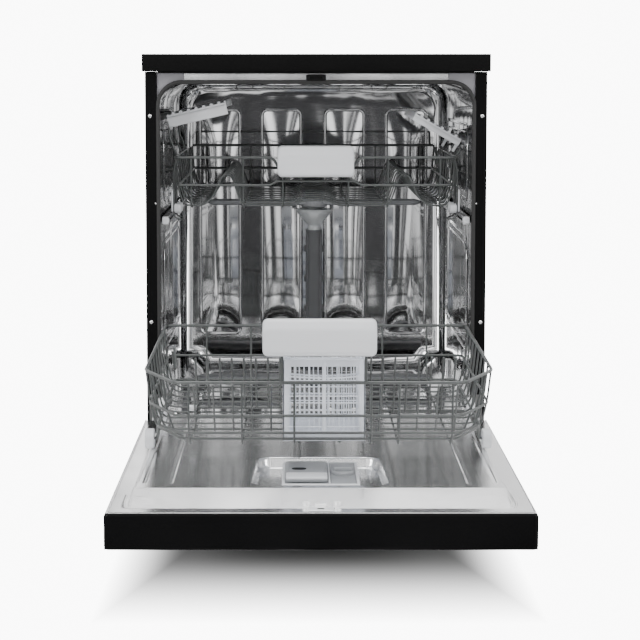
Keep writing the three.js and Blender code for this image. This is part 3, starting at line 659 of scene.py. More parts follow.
lo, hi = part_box("salt_cap")
centre = ((lo.x + hi.x) / 2, (lo.y + hi.y) / 2, lo.z)
reach = (hi.x - lo.x) / 2
cap = [(0.001, 0.0), (reach, 0.0), (reach, 0.009), (reach - 0.003, 0.012), (reach - 0.008, 0.0125),
       (0.001, 0.011)]
knurl = [block((centre[0] + math.cos(t) * (reach - 0.0012) - 0.001,
                centre[1] + math.sin(t) * (reach - 0.0012) - 0.001, lo.z + 0.001),
               (centre[0] + math.cos(t) * (reach - 0.0012) + 0.001,
                centre[1] + math.sin(t) * (reach - 0.0012) + 0.001, lo.z + 0.009), corner=0.0008,
               edge=0.0005, steps=2, turns=2) for t in np.linspace(0, 2 * math.pi, 36, endpoint=False)]
bars = [block((lo.x + 0.004, centre[1] - 0.004, lo.z + 0.009), (hi.x - 0.004, centre[1] + 0.004, hi.z),
              axis=0, corner=0.003, edge=0.002),
        block((centre[0] - 0.004, lo.y + 0.014, lo.z + 0.009),
              (centre[0] + 0.004, hi.y - 0.014, hi.z - 0.003), axis=1, corner=0.003, edge=0.002)]
piece("salt_screw_cap", [lathe(cap, centre, sides=40), *knurl, *bars], grey_moulding, "salt_cap",
      ["salt_cap"])

# ---- Spray arms ----
# Each arm is two hollow grey blades on a round hub, thick at the middle and thin along its edges,
# with a row of small jets on its upper face. Water pressure turns it.


def spray_arm(name, node, body, root, tip):
    """A blade whose half width falls straight from root to tip and closes in a half circle, with a
    lens section: its thickness follows the cosine across the width. Then a hub and its jets."""
    lo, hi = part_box(node)
    reach = hi.x
    middle = (lo.y + hi.y) / 2
    thick = (hi.z - lo.z) / 2 - 0.004
    height = lo.z + 0.003 + thick
    run = np.linspace(-1, 1, 61)
    x = reach * np.sin(run * math.pi / 2)
    near = np.clip((reach - np.abs(x)) / tip, 0, 1)
    wide = (root + (tip - root) * np.abs(x) / reach) * np.sqrt(np.maximum(1 - (1 - near) ** 2, 1e-5))
    turn = np.linspace(0, 2 * math.pi, 20, endpoint=False)
    rings = np.zeros((len(x), len(turn), 3))
    rings[:, :, 0] = x[:, None]
    rings[:, :, 1] = middle + wide[:, None] * np.cos(turn)
    lens = np.sign(np.sin(turn)) * np.abs(np.sin(turn)) ** 0.6
    rings[:, :, 2] = height + (thick * np.sqrt(near))[:, None] * lens
    hub = root + 0.005
    profile = [(0.001, lo.z), (hub - 0.003, lo.z), (hub, lo.z + 0.002), (hub, hi.z - 0.005),
               (hub - 0.003, hi.z - 0.002), (hub * 0.55, hi.z - 0.0015), (hub * 0.5, hi.z), (0.001, hi.z)]
    jets = []
    for k, place in enumerate(np.linspace(0.22, 0.92, 7)):
        for side in (-1, 1):
            offset = 0.006 * (1 if k % 2 else -1)
            jets.append(lathe([(0.004, -0.003), (0.004, 0.0005), (0.003, 0.0016), (0.0016, 0.0016),
                               (0.001, -0.002)],
                              (side * place * reach, middle + side * offset, height + thick - 0.0012),
                              sides=12))
    piece(name, [skin(rings), lathe(profile, (0, middle, 0), sides=36), *jets], grey_moulding, body,
          [node])


spray_arm("lower_spray_blade", "lower_spray_arm", "lower_spray_arm", 0.024, 0.014)
spray_arm("upper_spray_blade", "upper_spray_arm", "upper_spray_arm", 0.020, 0.012)

# ---- Rails and rollers ----
# Two folded steel channels on the tub's sides carry the upper rack. Pale rollers run on pins that
# are riveted to its side brackets, and a moulded stop caps the front of each rail.

pale = finish("pale_moulding", (0.60, 0.61, 0.63), (0.66, 0.67, 0.69), 0.4, grain=1200, bump=0.08)
for word, side in (("left", -1), ("right", 1)):
    lo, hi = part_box(f"rack_rail_{word}")
    wall = side * max(abs(lo.x), abs(hi.x))
    inside = side * min(abs(lo.x), abs(hi.x))
    channel = [block((wall, lo.y, lo.z), (wall - side * 0.002, hi.y, hi.z), axis=1, corner=0.0008,
                     edge=0.0004),
               block((wall, lo.y, hi.z - 0.002), (inside, hi.y, hi.z), axis=1, corner=0.0008,
                     edge=0.0004),
               block((wall, lo.y, lo.z), (inside, hi.y, lo.z + 0.002), axis=1, corner=0.0008,
                     edge=0.0004),
               block((inside, lo.y, lo.z), (inside + side * 0.0015, hi.y, lo.z + 0.005), axis=1,
                     corner=0.0007, edge=0.0004),
               block((inside, lo.y, hi.z - 0.005), (inside + side * 0.0015, hi.y, hi.z), axis=1,
                     corner=0.0007, edge=0.0004)]
    piece(f"rail_channel_{word}", channel, plain_steel, "rack_rails", [f"rack_rail_{word}"])
    stop = [block((wall, lo.y - 0.001, lo.z + 0.001), (inside, lo.y + 0.012, hi.z - 0.001), axis=1,
                  corner=0.003, edge=0.002)]
    piece(f"rail_stop_{word}", stop, pale, "rack_rails")

# ---- Upper rack ----
# Round wires, bent and welded, then dipped in grey nylon. The cross wires rise to a low ridge on each
# side so that cups lean, and the front wires bow behind the handle.


def bent(corners, radius, steps=4):
    """A path through corners, each corner replaced by a curve that leaves one side a radius before
    it and joins the next a radius after it: the quadratic Bezier curve on the corner."""
    corners = np.asarray(corners, float)
    out = [corners[0]]
    t = np.linspace(0, 1, steps + 1)[:, None]
    for before, here, after in zip(corners[:-2], corners[1:-1], corners[2:]):
        to_before, to_after = before - here, after - here
        a, b = np.linalg.norm(to_before), np.linalg.norm(to_after)
        start = here + to_before / a * min(radius, a * 0.49)
        end = here + to_after / b * min(radius, b * 0.49)
        out.extend((1 - t) ** 2 * start + 2 * t * (1 - t) * here + t ** 2 * end)
    out.append(corners[-1])
    return np.array(out)


def tube(path, radius, sides=8, closed=False):
    """A round wire: a circle stands across the path at each of its points, with its first direction
    square to a fixed reference, the one that the path runs least along."""
    path = np.asarray(path, float)
    if closed:
        ahead = np.roll(path, -1, axis=0) - np.roll(path, 1, axis=0)
    else:
        ahead = np.gradient(path, axis=0)
    ahead /= np.linalg.norm(ahead, axis=1, keepdims=True)
    reference = np.linalg.svd(ahead, full_matrices=True)[2][-1]
    first = np.cross(ahead, reference)
    first /= np.maximum(np.linalg.norm(first, axis=1, keepdims=True), 1e-9)
    second = np.cross(ahead, first)
    turn = np.linspace(0, 2 * math.pi, sides, endpoint=False)[None, :, None]
    rings = path[:, None] + radius * (np.cos(turn) * first[:, None] + np.sin(turn) * second[:, None])
    return skin(rings, looped=closed)


def at(x, y, z):
    """A point from millimetres across, millimetres behind the cabinet's front, and millimetres up."""
    return (x / 1000, front + y / 1000, z / 1000)


def wires(paths, radius, bend=6, sides=8):
    """Several bent wires of one thickness from millimetre corners."""
    return [tube(bent([at(*p) for p in path], bend / 1000), radius / 1000, sides) for path in paths]


nylon = finish("grey_nylon", (0.050, 0.055, 0.054), (0.075, 0.081, 0.080), 0.3, grain=1500, bump=0.06)


def upper_rack():
    """The rack's wires, from its rim down: rings, cross wires, side brackets."""
    thick, thin = [], []
    front_rim = [(-248, 530, 664), (-248, 45, 664), (-74, 45, 664), (-64, 45, 640), (64, 45, 640),
                 (74, 45, 664), (248, 45, 664), (248, 530, 664), (-248, 530, 664)]
    thick.append(tube(bent([at(*p) for p in front_rim[:-1]] , 0.012), 0.0024))
    thick += wires([[(-248, 530, 664), (248, 530, 664)], [(-240, 540, 692), (240, 540, 692)],
                    [(-240, 530, 664), (-240, 540, 692)], [(240, 530, 664), (240, 540, 692)]], 2.4)
    for y in (82, 200, 318):
        thick += wires([[(-262, y, 716), (-259, y, 694), (-248, y, 666)],
                        [(258, y, 676), (254, y, 668), (248, y, 664)]], 2.0)
    thick += wires([[(-241, 48, 615), (-80, 48, 615), (-69, 48, 622), (69, 48, 622), (80, 48, 615),
                     (241, 48, 615), (244, 526, 617), (-244, 526, 617), (-242, 60, 615)]], 2.1)
    for y in np.linspace(70, 506, 10):
        thin.append([(-248, y, 664), (-243, y, 604), (-234, y, 578), (-200, y, 577), (-184, y, 590),
                     (-165, y, 632), (-150, y, 632), (-134, y, 584), (-126, y, 577), (-40, y, 577),
                     (-22, y, 586), (22, y, 586), (40, y, 577), (126, y, 577), (134, y, 584),
                     (150, y, 632), (165, y, 632), (184, y, 590), (200, y, 577), (234, y, 578),
                     (243, y, 604), (248, y, 664)])
    for x in (-220, -128, -58, 58, 128, 220):
        top = 640 if abs(x) < 64 else 664
        thin.append([(x, 45, top), (x, 52, 612), (x, 62, 574.5), (x, 512, 574.5), (x, 527, 612),
                     (x, 530, 664)])
    for x in (-158, 158):
        thin.append([(x, 62, 629), (x, 512, 629)])
    for side in (-1, 1):
        for y in (90, 470):
            thin += [[(side * 246, y - 22, 664), (side * 252, y - 22, 640), (side * 252, y - 22, 556),
                      (side * 238, y - 22, 552), (side * 238, y + 22, 552), (side * 252, y + 22, 556),
                      (side * 252, y + 22, 640), (side * 246, y + 22, 664)],
                     [(side * 246, y - 8, 662), (side * 250, y - 8, 640), (side * 250, y - 8, 570)],
                     [(side * 246, y + 8, 662), (side * 250, y + 8, 640), (side * 250, y + 8, 570)]]
    return thick + wires(thin, 1.5, bend=9)


piece("upper_rack_wires", upper_rack(), nylon, "upper_rack", ["upper_basket"], crease=60)
rollers = []
for side in (-1, 1):
    for y in (90, 470):
        for dy in (-18, 18):
            x = side * 0.2455
            ring = [(0.002, -0.006), (0.0075, -0.006), (0.0085, -0.0045), (0.0085, 0.0045), (0.0075, 0.006),
                    (0.002, 0.006)]
            rollers.append(lathe(ring, at(side * 245.5, y + dy, 572), axis=0, sides=24))
        rollers.append(block(at(side * 253.4, y - 28, 566), at(side * 256.2, y + 28, 606), axis=0,
                             corner=0.006, edge=0.001))
piece("upper_rack_rollers", rollers, pale, "upper_rack")


def grip_bar(name, node, body, band, raise_by=0.0):
    """A moulded handle: its section in Y and Z has an upright face and a bevel that leans back along
    the top, and it is carried along X. At each end the section shrinks along a quarter circle."""
    lo, hi = (np.array(corner) + (0, 0, raise_by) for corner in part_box(node))
    (x_lo, y_lo, z_lo), (x_hi, y_hi, z_hi) = lo, hi
    section = bent([(0, y_hi, z_lo), (0, y_lo + 0.004, z_lo), (0, y_lo, z_lo + 0.005),
                    (0, y_lo, z_hi - band), (0, y_lo + 0.007, z_hi - 0.0015), (0, y_lo + 0.011, z_hi),
                    (0, y_hi, z_hi)], 0.0035, 5)
    turn = np.linspace(0, math.pi / 2, 8)
    corner = 0.008
    start, shrink = x_lo + corner * (1 - np.cos(turn)), corner * (1 - np.sin(turn))
    levels = np.concatenate([start, (x_lo + x_hi) - start[::-1]])
    shrinks = np.concatenate([shrink, shrink[::-1]])
    middle = np.array([0, y_hi, (z_lo + z_hi) / 2])
    half_size = np.array([1, (y_hi - y_lo) * 3, (z_hi - z_lo) / 2])
    rings = [middle + (section - middle) * (1 - s / half_size) + (x, 0, 0) for x, s in zip(levels, shrinks)]
    line = block((-0.023, y_lo - 0.0003, z_hi - band - 0.0065),
                 (0.023, y_lo + 0.002, z_hi - band - 0.005), axis=1, corner=0.0006, edge=0.0003)
    frame_z = z_hi - band - 0.012
    rim = frame_bead(panel_outline((0, y_lo + 0.0003, (z_lo + frame_z) / 2),
                                   (x_hi - x_lo - 0.016, frame_z - z_lo - 0.008), 0.004, (0, 2)),
                     (0, -0.0006, 0), 0.0012, 4)
    piece(name, [skin(rings), line, rim], pale, body, [node])


grip_bar("upper_rack_grip", "upper_handle", "upper_rack", 0.016)

# ---- Cup shelves ----
# Two pale moulded shelves hang on the sides of the upper rack and fold up. Ridges across the top let
# cups drain, the free edge turns up, and a clip below holds each to a wire.


def cup_shelf(word, side, thickness, knobs):
    """A shelf drawn in its own plane: along the slope from the clip to the free edge, carried along Y
    with ribs and slots, then turned to the slope of its solid."""
    lo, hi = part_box(f"cup_shelf_{word}")
    outer = np.array([hi.x if side > 0 else lo.x, lo.z + 0.008])
    inner = np.array([lo.x if side > 0 else hi.x, hi.z])
    slope = inner - outer
    length = np.linalg.norm(slope)
    along = slope / length
    up = np.array([-along[1], along[0]]) * (1 if side < 0 else -1)

    def placed(part):
        points, faces = part
        flat = outer + points[:, :1] * along + points[:, 2:] * up
        return np.stack([flat[:, 0], points[:, 1], flat[:, 1]], -1), faces

    parts = [block((0.001, lo.y, -0.006), (length - 0.001, hi.y, -0.003), axis=1, corner=0.0014,
                   edge=0.001),
             block((0.0, lo.y, -thickness + 0.003), (length, lo.y + 0.0035, 0.0), axis=0, corner=0.0016,
                   edge=0.0012),
             block((0.0, hi.y - 0.003, -0.010), (length, hi.y, 0.0), axis=0, corner=0.0014, edge=0.001),
             block((0.0, lo.y + 0.002, -0.012), (0.003, hi.y - 0.002, 0.001), axis=1, corner=0.0014,
                   edge=0.001),
             block((length - 0.003, lo.y + 0.002, -0.008), (length, hi.y - 0.002, 0.003), axis=1,
                   corner=0.0014, edge=0.001)]
    for place in np.linspace(0.012, length - 0.012, knobs):
        parts.append(block((place - 0.0028, lo.y + 0.0004, -0.0045),
                           (place + 0.0028, hi.y - 0.004, 0.0034), axis=1, corner=0.0024, edge=0.0012))
    for y in np.linspace(lo.y + 0.05, hi.y - 0.05, 4):
        parts.append(block((0.004, y - 0.0015, -0.010), (length - 0.004, y + 0.0015, -0.002), axis=0,
                           corner=0.001, edge=0.0008))
    for y in (lo.y + 0.02, hi.y - 0.02):
        parts.append(block((-0.0005, y - 0.007, -0.026), (0.004, y + 0.007, -0.002), axis=1, corner=0.0015,
                           edge=0.001))
    piece(f"cup_shelf_moulding_{word}", [placed(p) for p in parts], pale, f"cup_shelf_{word}",
          [f"cup_shelf_{word}"])


cup_shelf("left", -1, 0.025, 7)
cup_shelf("right", 1, 0.016, 6)

# ---- Funnel under the upper rack ----
# A clear moulded funnel catches the jet from the duct and feeds the upper arm. It has a flat flange,
# a cone and a short bright spout.

clear = finish("clear_moulding", (0.62, 0.64, 0.65), (0.72, 0.74, 0.75), 0.12, grain=700, through=0.55)
lo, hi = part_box("upper_feed_funnel")
centre = ((lo.x + hi.x) / 2, (lo.y + hi.y) / 2, 0)
profile = [(0.0095, lo.z + 0.001), (0.0095, lo.z + 0.008), (0.031, hi.z - 0.006), (0.031, hi.z),
           (0.0345, hi.z), (0.0345, hi.z - 0.003), (0.0328, hi.z - 0.0075), (0.0125, lo.z + 0.009),
           (0.0125, lo.z), (0.0105, lo.z)]
points, faces = lathe(profile + profile[:1], centre, sides=40)
piece("feed_funnel", [(points, faces[:-2])], clear, "upper_rack", ["upper_feed_funnel"])

# ---- Door: outer sheet, console and handle ----
# A black enamelled sheet folded up at its sides meets a moulded black console along the free edge.
# The console holds three buttons, a small display window and the pocket that fingers pull.


def console():
    """A shell open towards the steel lining, with a broad rounded front: the outline of the front
    face in X and Z, carried back along Y, and drawn in along a quarter circle where it starts."""
    lo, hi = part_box("control_console")
    turn = np.linspace(0, math.pi / 2, 7)
    edge = 0.004
    rings = []
    for t in turn:
        flat = rounded(hi.x - lo.x - 2 * edge * (1 - math.sin(t)),
                       hi.z - lo.z - 2 * edge * (1 - math.sin(t)), 0.006, 6)
        rings.append(np.insert(flat + ((lo.x + hi.x) / 2, (lo.z + hi.z) / 2), 1,
                               lo.y + edge * (1 - math.cos(t)), axis=1))
    rings.append(rings[-1] + (0, 0.0035, 0))
    inner = rings[-1].copy()
    inner[:, [0, 2]] = (inner[:, [0, 2]] - ((lo.x + hi.x) / 2, (lo.z + hi.z) / 2)) * (0.99, 0.9) + (
        (lo.x + hi.x) / 2, (lo.z + hi.z) / 2)
    rings.append(inner)
    return [skin(rings),
            block((lo.x, lo.y + 0.006, lo.z), (lo.x + 0.003, hi.y, hi.z - 0.004), axis=1, corner=0.001,
                  edge=0.0004),
            block((hi.x - 0.003, lo.y + 0.006, lo.z), (hi.x, hi.y, hi.z - 0.004), axis=1, corner=0.001,
                  edge=0.0004)]


pocket_lo, pocket_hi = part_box("door_handle")
lo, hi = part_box("control_console")
underside = []
bands = [(lo.y + 0.005, pocket_lo.y), (pocket_hi.y, hi.y)]
for y0, y1 in bands:
    underside.append(block((lo.x, y0, lo.z), (hi.x, y1, lo.z + 0.003), corner=0.001, edge=0.0005))
for x0, x1 in ((lo.x, pocket_lo.x), (pocket_hi.x, hi.x)):
    underside.append(block((x0, pocket_lo.y, lo.z), (x1, pocket_hi.y, lo.z + 0.003), corner=0.001,
                           edge=0.0005))
piece("console_housing", console() + underside, enamel, "door", ["control_console"])
eased("door_handle", "handle_cup", 0.0012, moulding, "door")

lo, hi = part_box("display_window")
window = block(lo, hi, axis=2, corner=0.006, edge=0.0003)
smoked = finish("smoked_window", (0.01, 0.011, 0.012), (0.02, 0.022, 0.024), 0.08, grain=400, bump=0.02,
                coat=0.6)
piece("display_lens", [window], smoked, "door", ["display_window"])
for name in ("power_button", "programme_button", "start_button"):
    lo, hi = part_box(name)
    reach = (hi.x - lo.x) / 2
    cap = [(0.001, 0.0004), (reach * 0.7, 0.0004), (reach * 0.86, 0.0), (reach, 0.0012),
           (reach, hi.z - lo.z), (0.001, hi.z - lo.z)]
    piece(f"{name}_cap", [lathe(cap, ((lo.x + hi.x) / 2, (lo.y + hi.y) / 2, lo.z), sides=28)], pale, name,
          [name])

lo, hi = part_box("door_outer_panel")
sheets = [block(lo, (hi.x, hi.y, lo.z + sheet), axis=2, corner=0.002, edge=0.0005)]
for x in (lo.x, hi.x - sheet):
    sheets.append(block((x, lo.y, lo.z + 0.0008), (x + sheet, hi.y, hi.z), axis=1, corner=0.0006,
                        edge=0.0005))
piece("door_front_sheet", sheets, enamel, "door", ["door_outer_panel"])

# ---- Door: steel lining ----
# One sheet of mirror-polished steel pressed into a raised middle with sloped sides, fine embossed
# lines, and a recess round the dispenser. The latch plate is screwed to its front edge.


def lining(x, y):
    """Height over the plan: the flat border plus smooth steps up to the raised middle, low ridges
    along two embossed lines on each side, and a smooth step down into the recess, which narrows
    towards the door's hinge."""
    step = lambda t: np.clip(t, 0, 1) ** 2 * (3 - 2 * np.clip(t, 0, 1))
    flat, high = 0.210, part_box("door_inner_panel")[1].z
    raised_half, slope = 0.270, 0.010
    y0, y1 = front - 0.558, front - 0.050
    inside = raised_half - np.abs(x)
    ahead = y - y0
    behind = y1 - y
    corner = 0.03
    dx = np.maximum(corner - inside, 0)
    dy = np.maximum(corner - np.minimum(ahead, behind), 0)
    near = corner - np.hypot(dx, dy)
    near = np.where((dx > 0) & (dy > 0), near, np.minimum(inside, np.minimum(ahead, behind)))
    fall = np.clip((y - (front - 0.604)) / 0.046, 0, 1)
    beyond = flat + (high - flat) * fall * step((0.274 - np.abs(x)) / 0.012)
    height = np.where(y < y0, beyond, flat + (high - flat) * step(near / slope))
    height = np.maximum(height, beyond * (y < y0 + corner) + flat * (y >= y0 + corner))
    for line in (0.213, 0.252):
        ridge = np.exp(-((np.abs(x) - line) / 0.0022) ** 2)
        height = height - 0.0016 * ridge * step((near - 0.012) / 0.02)
    deep, wide, narrowing, curve, bottom = (front - 0.546, front - 0.376), 0.099, 0.0055, 0.022, 0.213
    into_x = wide - narrowing * np.clip((y - deep[0]) / (deep[1] - deep[0]), 0, 1) - np.abs(x)
    into_y = np.minimum(y - deep[0], deep[1] - y)
    dx = np.maximum(curve - into_x, 0)
    dy = np.maximum(curve - into_y, 0)
    well = np.where((dx > 0) & (dy > 0), curve - np.hypot(dx, dy), np.minimum(into_x, into_y))
    return height - (high - bottom) * step(well / 0.006)


def door_lining():
    """The lining's face over a grid that is fine where the height changes, with the dispenser's window
    left out. Its back, a sheet thickness lower, comes from the solidify modifier added afterwards."""
    lo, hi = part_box("door_inner_panel")
    grid = lambda stops, steps: np.concatenate([np.linspace(a, b, n, endpoint=False) for a, b,
                                                n in zip(stops[:-1], stops[1:], steps)] + [[stops[-1]]])
    cut_lo, cut_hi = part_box("dispenser_body")
    half_x = grid([0.0, cut_hi.x, 0.1, 0.205, 0.221, 0.244, 0.271, hi.x], [8, 34, 8, 12, 10, 26, 6])
    left = grid([lo.x, -0.271, -0.244, -0.221, -0.205, -0.1, cut_lo.x, 0.0], [6, 26, 10, 12, 8, 36, 8])
    x = np.concatenate([left[:-1], half_x])
    y = grid([lo.y, front - 0.606, front - 0.602, front - 0.559, front - 0.530, cut_lo.y, cut_hi.y,
              front - 0.374, front - 0.30, front - 0.084, front - 0.049, hi.y],
             [6, 4, 8, 34, 22, 44, 14, 8, 10, 24, 6])
    gx, gy = np.meshgrid(x, y, indexing="ij")
    top = np.stack([gx, gy, lining(gx, gy)], -1)
    mid_x, mid_y = (x[:-1] + x[1:]) / 2, (y[:-1] + y[1:]) / 2
    cut_x = (mid_x > cut_lo.x) & (mid_x < cut_hi.x)
    cut_y = (mid_y > cut_lo.y) & (mid_y < cut_hi.y)
    i, j = np.nonzero(~(cut_x[:, None] & cut_y[None]))
    index = lambda a, b: a * len(y) + b
    quads = np.stack([index(i, j), index(i + 1, j), index(i + 1, j + 1), index(i, j + 1)], -1)
    return top.reshape(-1, 3), quads.tolist()


points, faces = door_lining()
steel_door = polished("door_steel", (0.78, 0.78, 0.78), (0.90, 0.90, 0.90), 0.2, ripple=0.1, grain=0.008)
panel = piece("door_lining", [(points, faces)], steel_door, "door", ["door_inner_panel"],
              crease=50)
thick = panel.modifiers.new("sheet", "SOLIDIFY")
thick.thickness = sheet
thick.offset = -1

lo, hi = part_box("latch_plate")
hole = 0.0048
y_mid = (lo.y + hi.y) / 2
plate = [block((lo.x, lo.y, lo.z), (-hole, hi.y, hi.z), corner=0.002, edge=0.0006),
         block((hole, lo.y, lo.z), (hi.x, hi.y, hi.z), corner=0.002, edge=0.0006),
         block((-hole - 0.0004, lo.y, lo.z), (hole + 0.0004, y_mid - hole, hi.z), corner=0.0004,
               edge=0.0002),
         block((-hole - 0.0004, y_mid + hole, lo.z), (hole + 0.0004, hi.y, hi.z), corner=0.0004,
               edge=0.0002)]
plate.append(block((lo.x + 0.010, hi.y - 0.001, hi.z - 0.001),
                   (hi.x - 0.010, hi.y + 0.011, hi.z + 0.0035), corner=0.003, edge=0.001))
satin = finish("latch_steel", (0.86, 0.86, 0.86), (0.95, 0.95, 0.95), 0.5, metal=1.0, grain=600)
piece("latch_cover", plate, satin, "door", ["latch_plate"])
# Painted shade: a thin black plate under the latch plate's hole makes the hole read dark.
painted_latch_shade = block((-hole - 0.001, y_mid - hole - 0.001, lo.z - 0.0002),
                  (hole + 0.001, y_mid + hole + 0.001, lo.z + 0.0006), corner=0.001, edge=0.0002)
piece("latch_hole_shade", [painted_latch_shade], moulding, "door")
screw_y = front - 0.590
seat = float(lining(np.array([0.02]), np.array([screw_y]))[0])
heads = [lathe([(0.0056, -0.002), (0.0056, 0.0016), (0.0042, 0.0016), (0.0040, 0.0008), (0.0032, 0.0008),
                (0.0028, 0.0022), (0.0002, 0.0024)], (x, screw_y, seat), sides=28)
         for x in (-0.020, 0.0235)]
piece("latch_screws", heads, satin, "door")

lo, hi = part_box("door_seal")
seal = tube([(x, lo.y + 0.0075, lo.z + 0.0036) for x in np.linspace(lo.x, hi.x, 40)], 0.0036, 12)
foot = block((lo.x, lo.y, lo.z), (hi.x, hi.y, lo.z + 0.0025), axis=0, corner=0.001, edge=0.0008)
piece("door_lower_seal", [seal, foot], rubber, "door", ["door_seal"])

# ---- Detergent and rinse-aid dispenser ----
# A grey moulded tray clipped into the lining. A sliding lid closes the powder cup, and a round cap
# with a grip closes the rinse-aid tank.

cool_grey = finish("cool_grey_moulding", (0.24, 0.25, 0.262), (0.29, 0.30, 0.315), 0.36, grain=1300,
                   bump=0.08)
lo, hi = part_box("dispenser_body")
lid_lo, lid_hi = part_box("detergent_lid")
wall = 0.004
y0, y1 = lo.y - 0.010, hi.y + 0.004
tray = [block((lo.x, y0, lo.z), (hi.x, y1, lo.z + wall), corner=0.004, edge=0.001),
        block((lo.x, y0, lo.z), (lid_lo.x + 0.008, y1, hi.z), corner=0.004, edge=0.0012),
        block((lid_hi.x - 0.008, y0, lo.z), (hi.x, y1, hi.z), corner=0.004, edge=0.0012),
        block((lo.x + 0.003, y0 + 0.0004, lo.z), (hi.x - 0.003, lid_lo.y + 0.01, hi.z - 0.0004),
              corner=0.003, edge=0.0012),
        block((lo.x + 0.003, lid_hi.y - 0.01, lo.z), (hi.x - 0.003, y1 - 0.0004, hi.z - 0.0004),
              corner=0.003, edge=0.0012)]
piece("dispenser_tray", tray, grey_moulding, "door", ["dispenser_body"])
bezel = [block((x0, a, hi.z - 0.002), (x1, b, hi.z + height), corner=0.0012, edge=0.0008) for x0, x1, a,
         b,
         height in ((lo.x, hi.x, y0 - 0.001, y0 + 0.006, 0.0022), (lo.x, hi.x, y1 - 0.003, y1, 0.0016),
                    (lo.x - 0.001, lo.x + 0.0035, y0, y1, 0.0001),
                    (hi.x - 0.003, hi.x + 0.001, y0, y1, 0.0016),
                    (lid_hi.x + 0.001, lid_hi.x + 0.0035, y0, y1, 0.0018))]
piece("dispenser_bezel", bezel, pale, "door")
tank = [block((lid_hi.x + 0.005, y0 + 0.009, hi.z - 0.002), (hi.x - 0.0045, y1 - 0.0045, hi.z + 0.0002),
              corner=0.002, edge=0.0008)]
piece("rinse_aid_cover", tank, cool_grey, "door")

x_mid, y_mid = (lid_lo.x + lid_hi.x) / 2, (lid_lo.y + lid_hi.y) / 2
lid = [block(lid_lo, (lid_hi.x, lid_hi.y, lid_hi.z - 0.0015), corner=0.006, edge=0.0015),
       block((lid_lo.x + 0.003, lid_lo.y + 0.038, lid_lo.z + 0.002),
             (lid_hi.x - 0.003, lid_hi.y - 0.003, lid_hi.z - 0.0006), corner=0.004, edge=0.0012)]
piece("powder_lid", lid, cool_grey, "detergent_lid", ["detergent_lid"])
lip_bar = [block((lid_lo.x + 0.001, lid_lo.y + 0.001, lid_lo.z + 0.002),
                 (lid_hi.x - 0.001, lid_lo.y + 0.033, lid_hi.z + 0.0006), corner=0.003, edge=0.0014)]
piece("powder_lid_lip", lip_bar, pale, "detergent_lid")
# Painted shade: a thin black patch on the lid's top stands for the dark of the finger slot, which is not
# cut.
painted_slot_shade = [block((x_mid - 0.022, y_mid - 0.003, lid_hi.z - 0.002), (x_mid, y_mid + 0.010, lid_hi.z),
                   corner=0.0064, edge=0.0006)]
piece("powder_lid_slot_shade", painted_slot_shade, moulding, "detergent_lid")

lo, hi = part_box("rinse_aid_cap")
centre = ((lo.x + hi.x) / 2, (lo.y + hi.y) / 2, lo.z)
reach = (hi.y - lo.y) / 2
cap = [(0.001, 0.0), (reach, 0.0), (reach, 0.0035), (reach - 0.0015, 0.005), (reach * 0.72, 0.005),
       (reach * 0.68, 0.0042), (0.001, 0.0042)]
bar = block((lo.x + 0.003, centre[1] - 0.003, lo.z + 0.003), (hi.x - 0.003, centre[1] + 0.003, hi.z),
            axis=0, corner=0.0024, edge=0.002)
piece("rinse_aid_screw_cap", [lathe(cap, centre, sides=40), bar], cool_grey, "rinse_aid_cap",
      ["rinse_aid_cap"])

# ---- Hinges and springs ----
# A flat zinc-plated arm on each side of the door turns on a pin in the cabinet's bracket, and a coil
# spring pulls its tail to balance the door's weight.

for word, side in (("left", -1), ("right", 1)):
    eased(f"hinge_arm_{word}", f"hinge_plate_{word}", 0.0004, zinc, "door")
    eased(f"hinge_bracket_{word}", f"hinge_upright_{word}", 0.0004, zinc)
    lo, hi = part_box(f"door_spring_{word}")
    x, y, reach = (lo.x + hi.x) / 2, (lo.y + hi.y) / 2, (hi.x - lo.x) / 2 - 0.001
    turns = 34
    t = np.linspace(0, 1, turns * 10)
    body = (t > 0.06) & (t < 0.94)
    swing = np.where(body, reach, reach * 0.35)
    coil = np.stack([x + swing * np.cos(t * turns * 2 * math.pi),
                     y + swing * np.sin(t * turns * 2 * math.pi), lo.z + (hi.z - lo.z) * t], -1)
    steel_wire = finish(f"spring_wire_{word}", (0.30, 0.31, 0.32), (0.40, 0.41, 0.42), 0.3, metal=1.0,
                        grain=800)
    piece(f"balance_spring_{word}", [tube(coil, 0.0009, 6)], steel_wire, "cabinet",
          [f"door_spring_{word}"], crease=60)

# ---- Lower rack ----
# The same nylon-dipped wire, on four wheels. Front wires drop from the rim and hook under a double
# bottom wire; two rows of plate tines lean forward, and one of them folds down.


def ring_path(half_x, y0, y1, z0, z1, chamfer, bend=14):
    """A closed rectangle of wire with cut front corners, rising from z0 at the front to z1."""
    back = y0 + chamfer * 1.96
    corners = [(0, y0, z0), (-half_x + chamfer, y0, z0), (-half_x, back, z0), (-half_x, y1, z1),
               (half_x, y1, z1), (half_x, back, z0), (half_x - chamfer, y0, z0), (0, y0, z0)]
    return bent([at(*p) for p in corners], bend / 1000)[:-1]


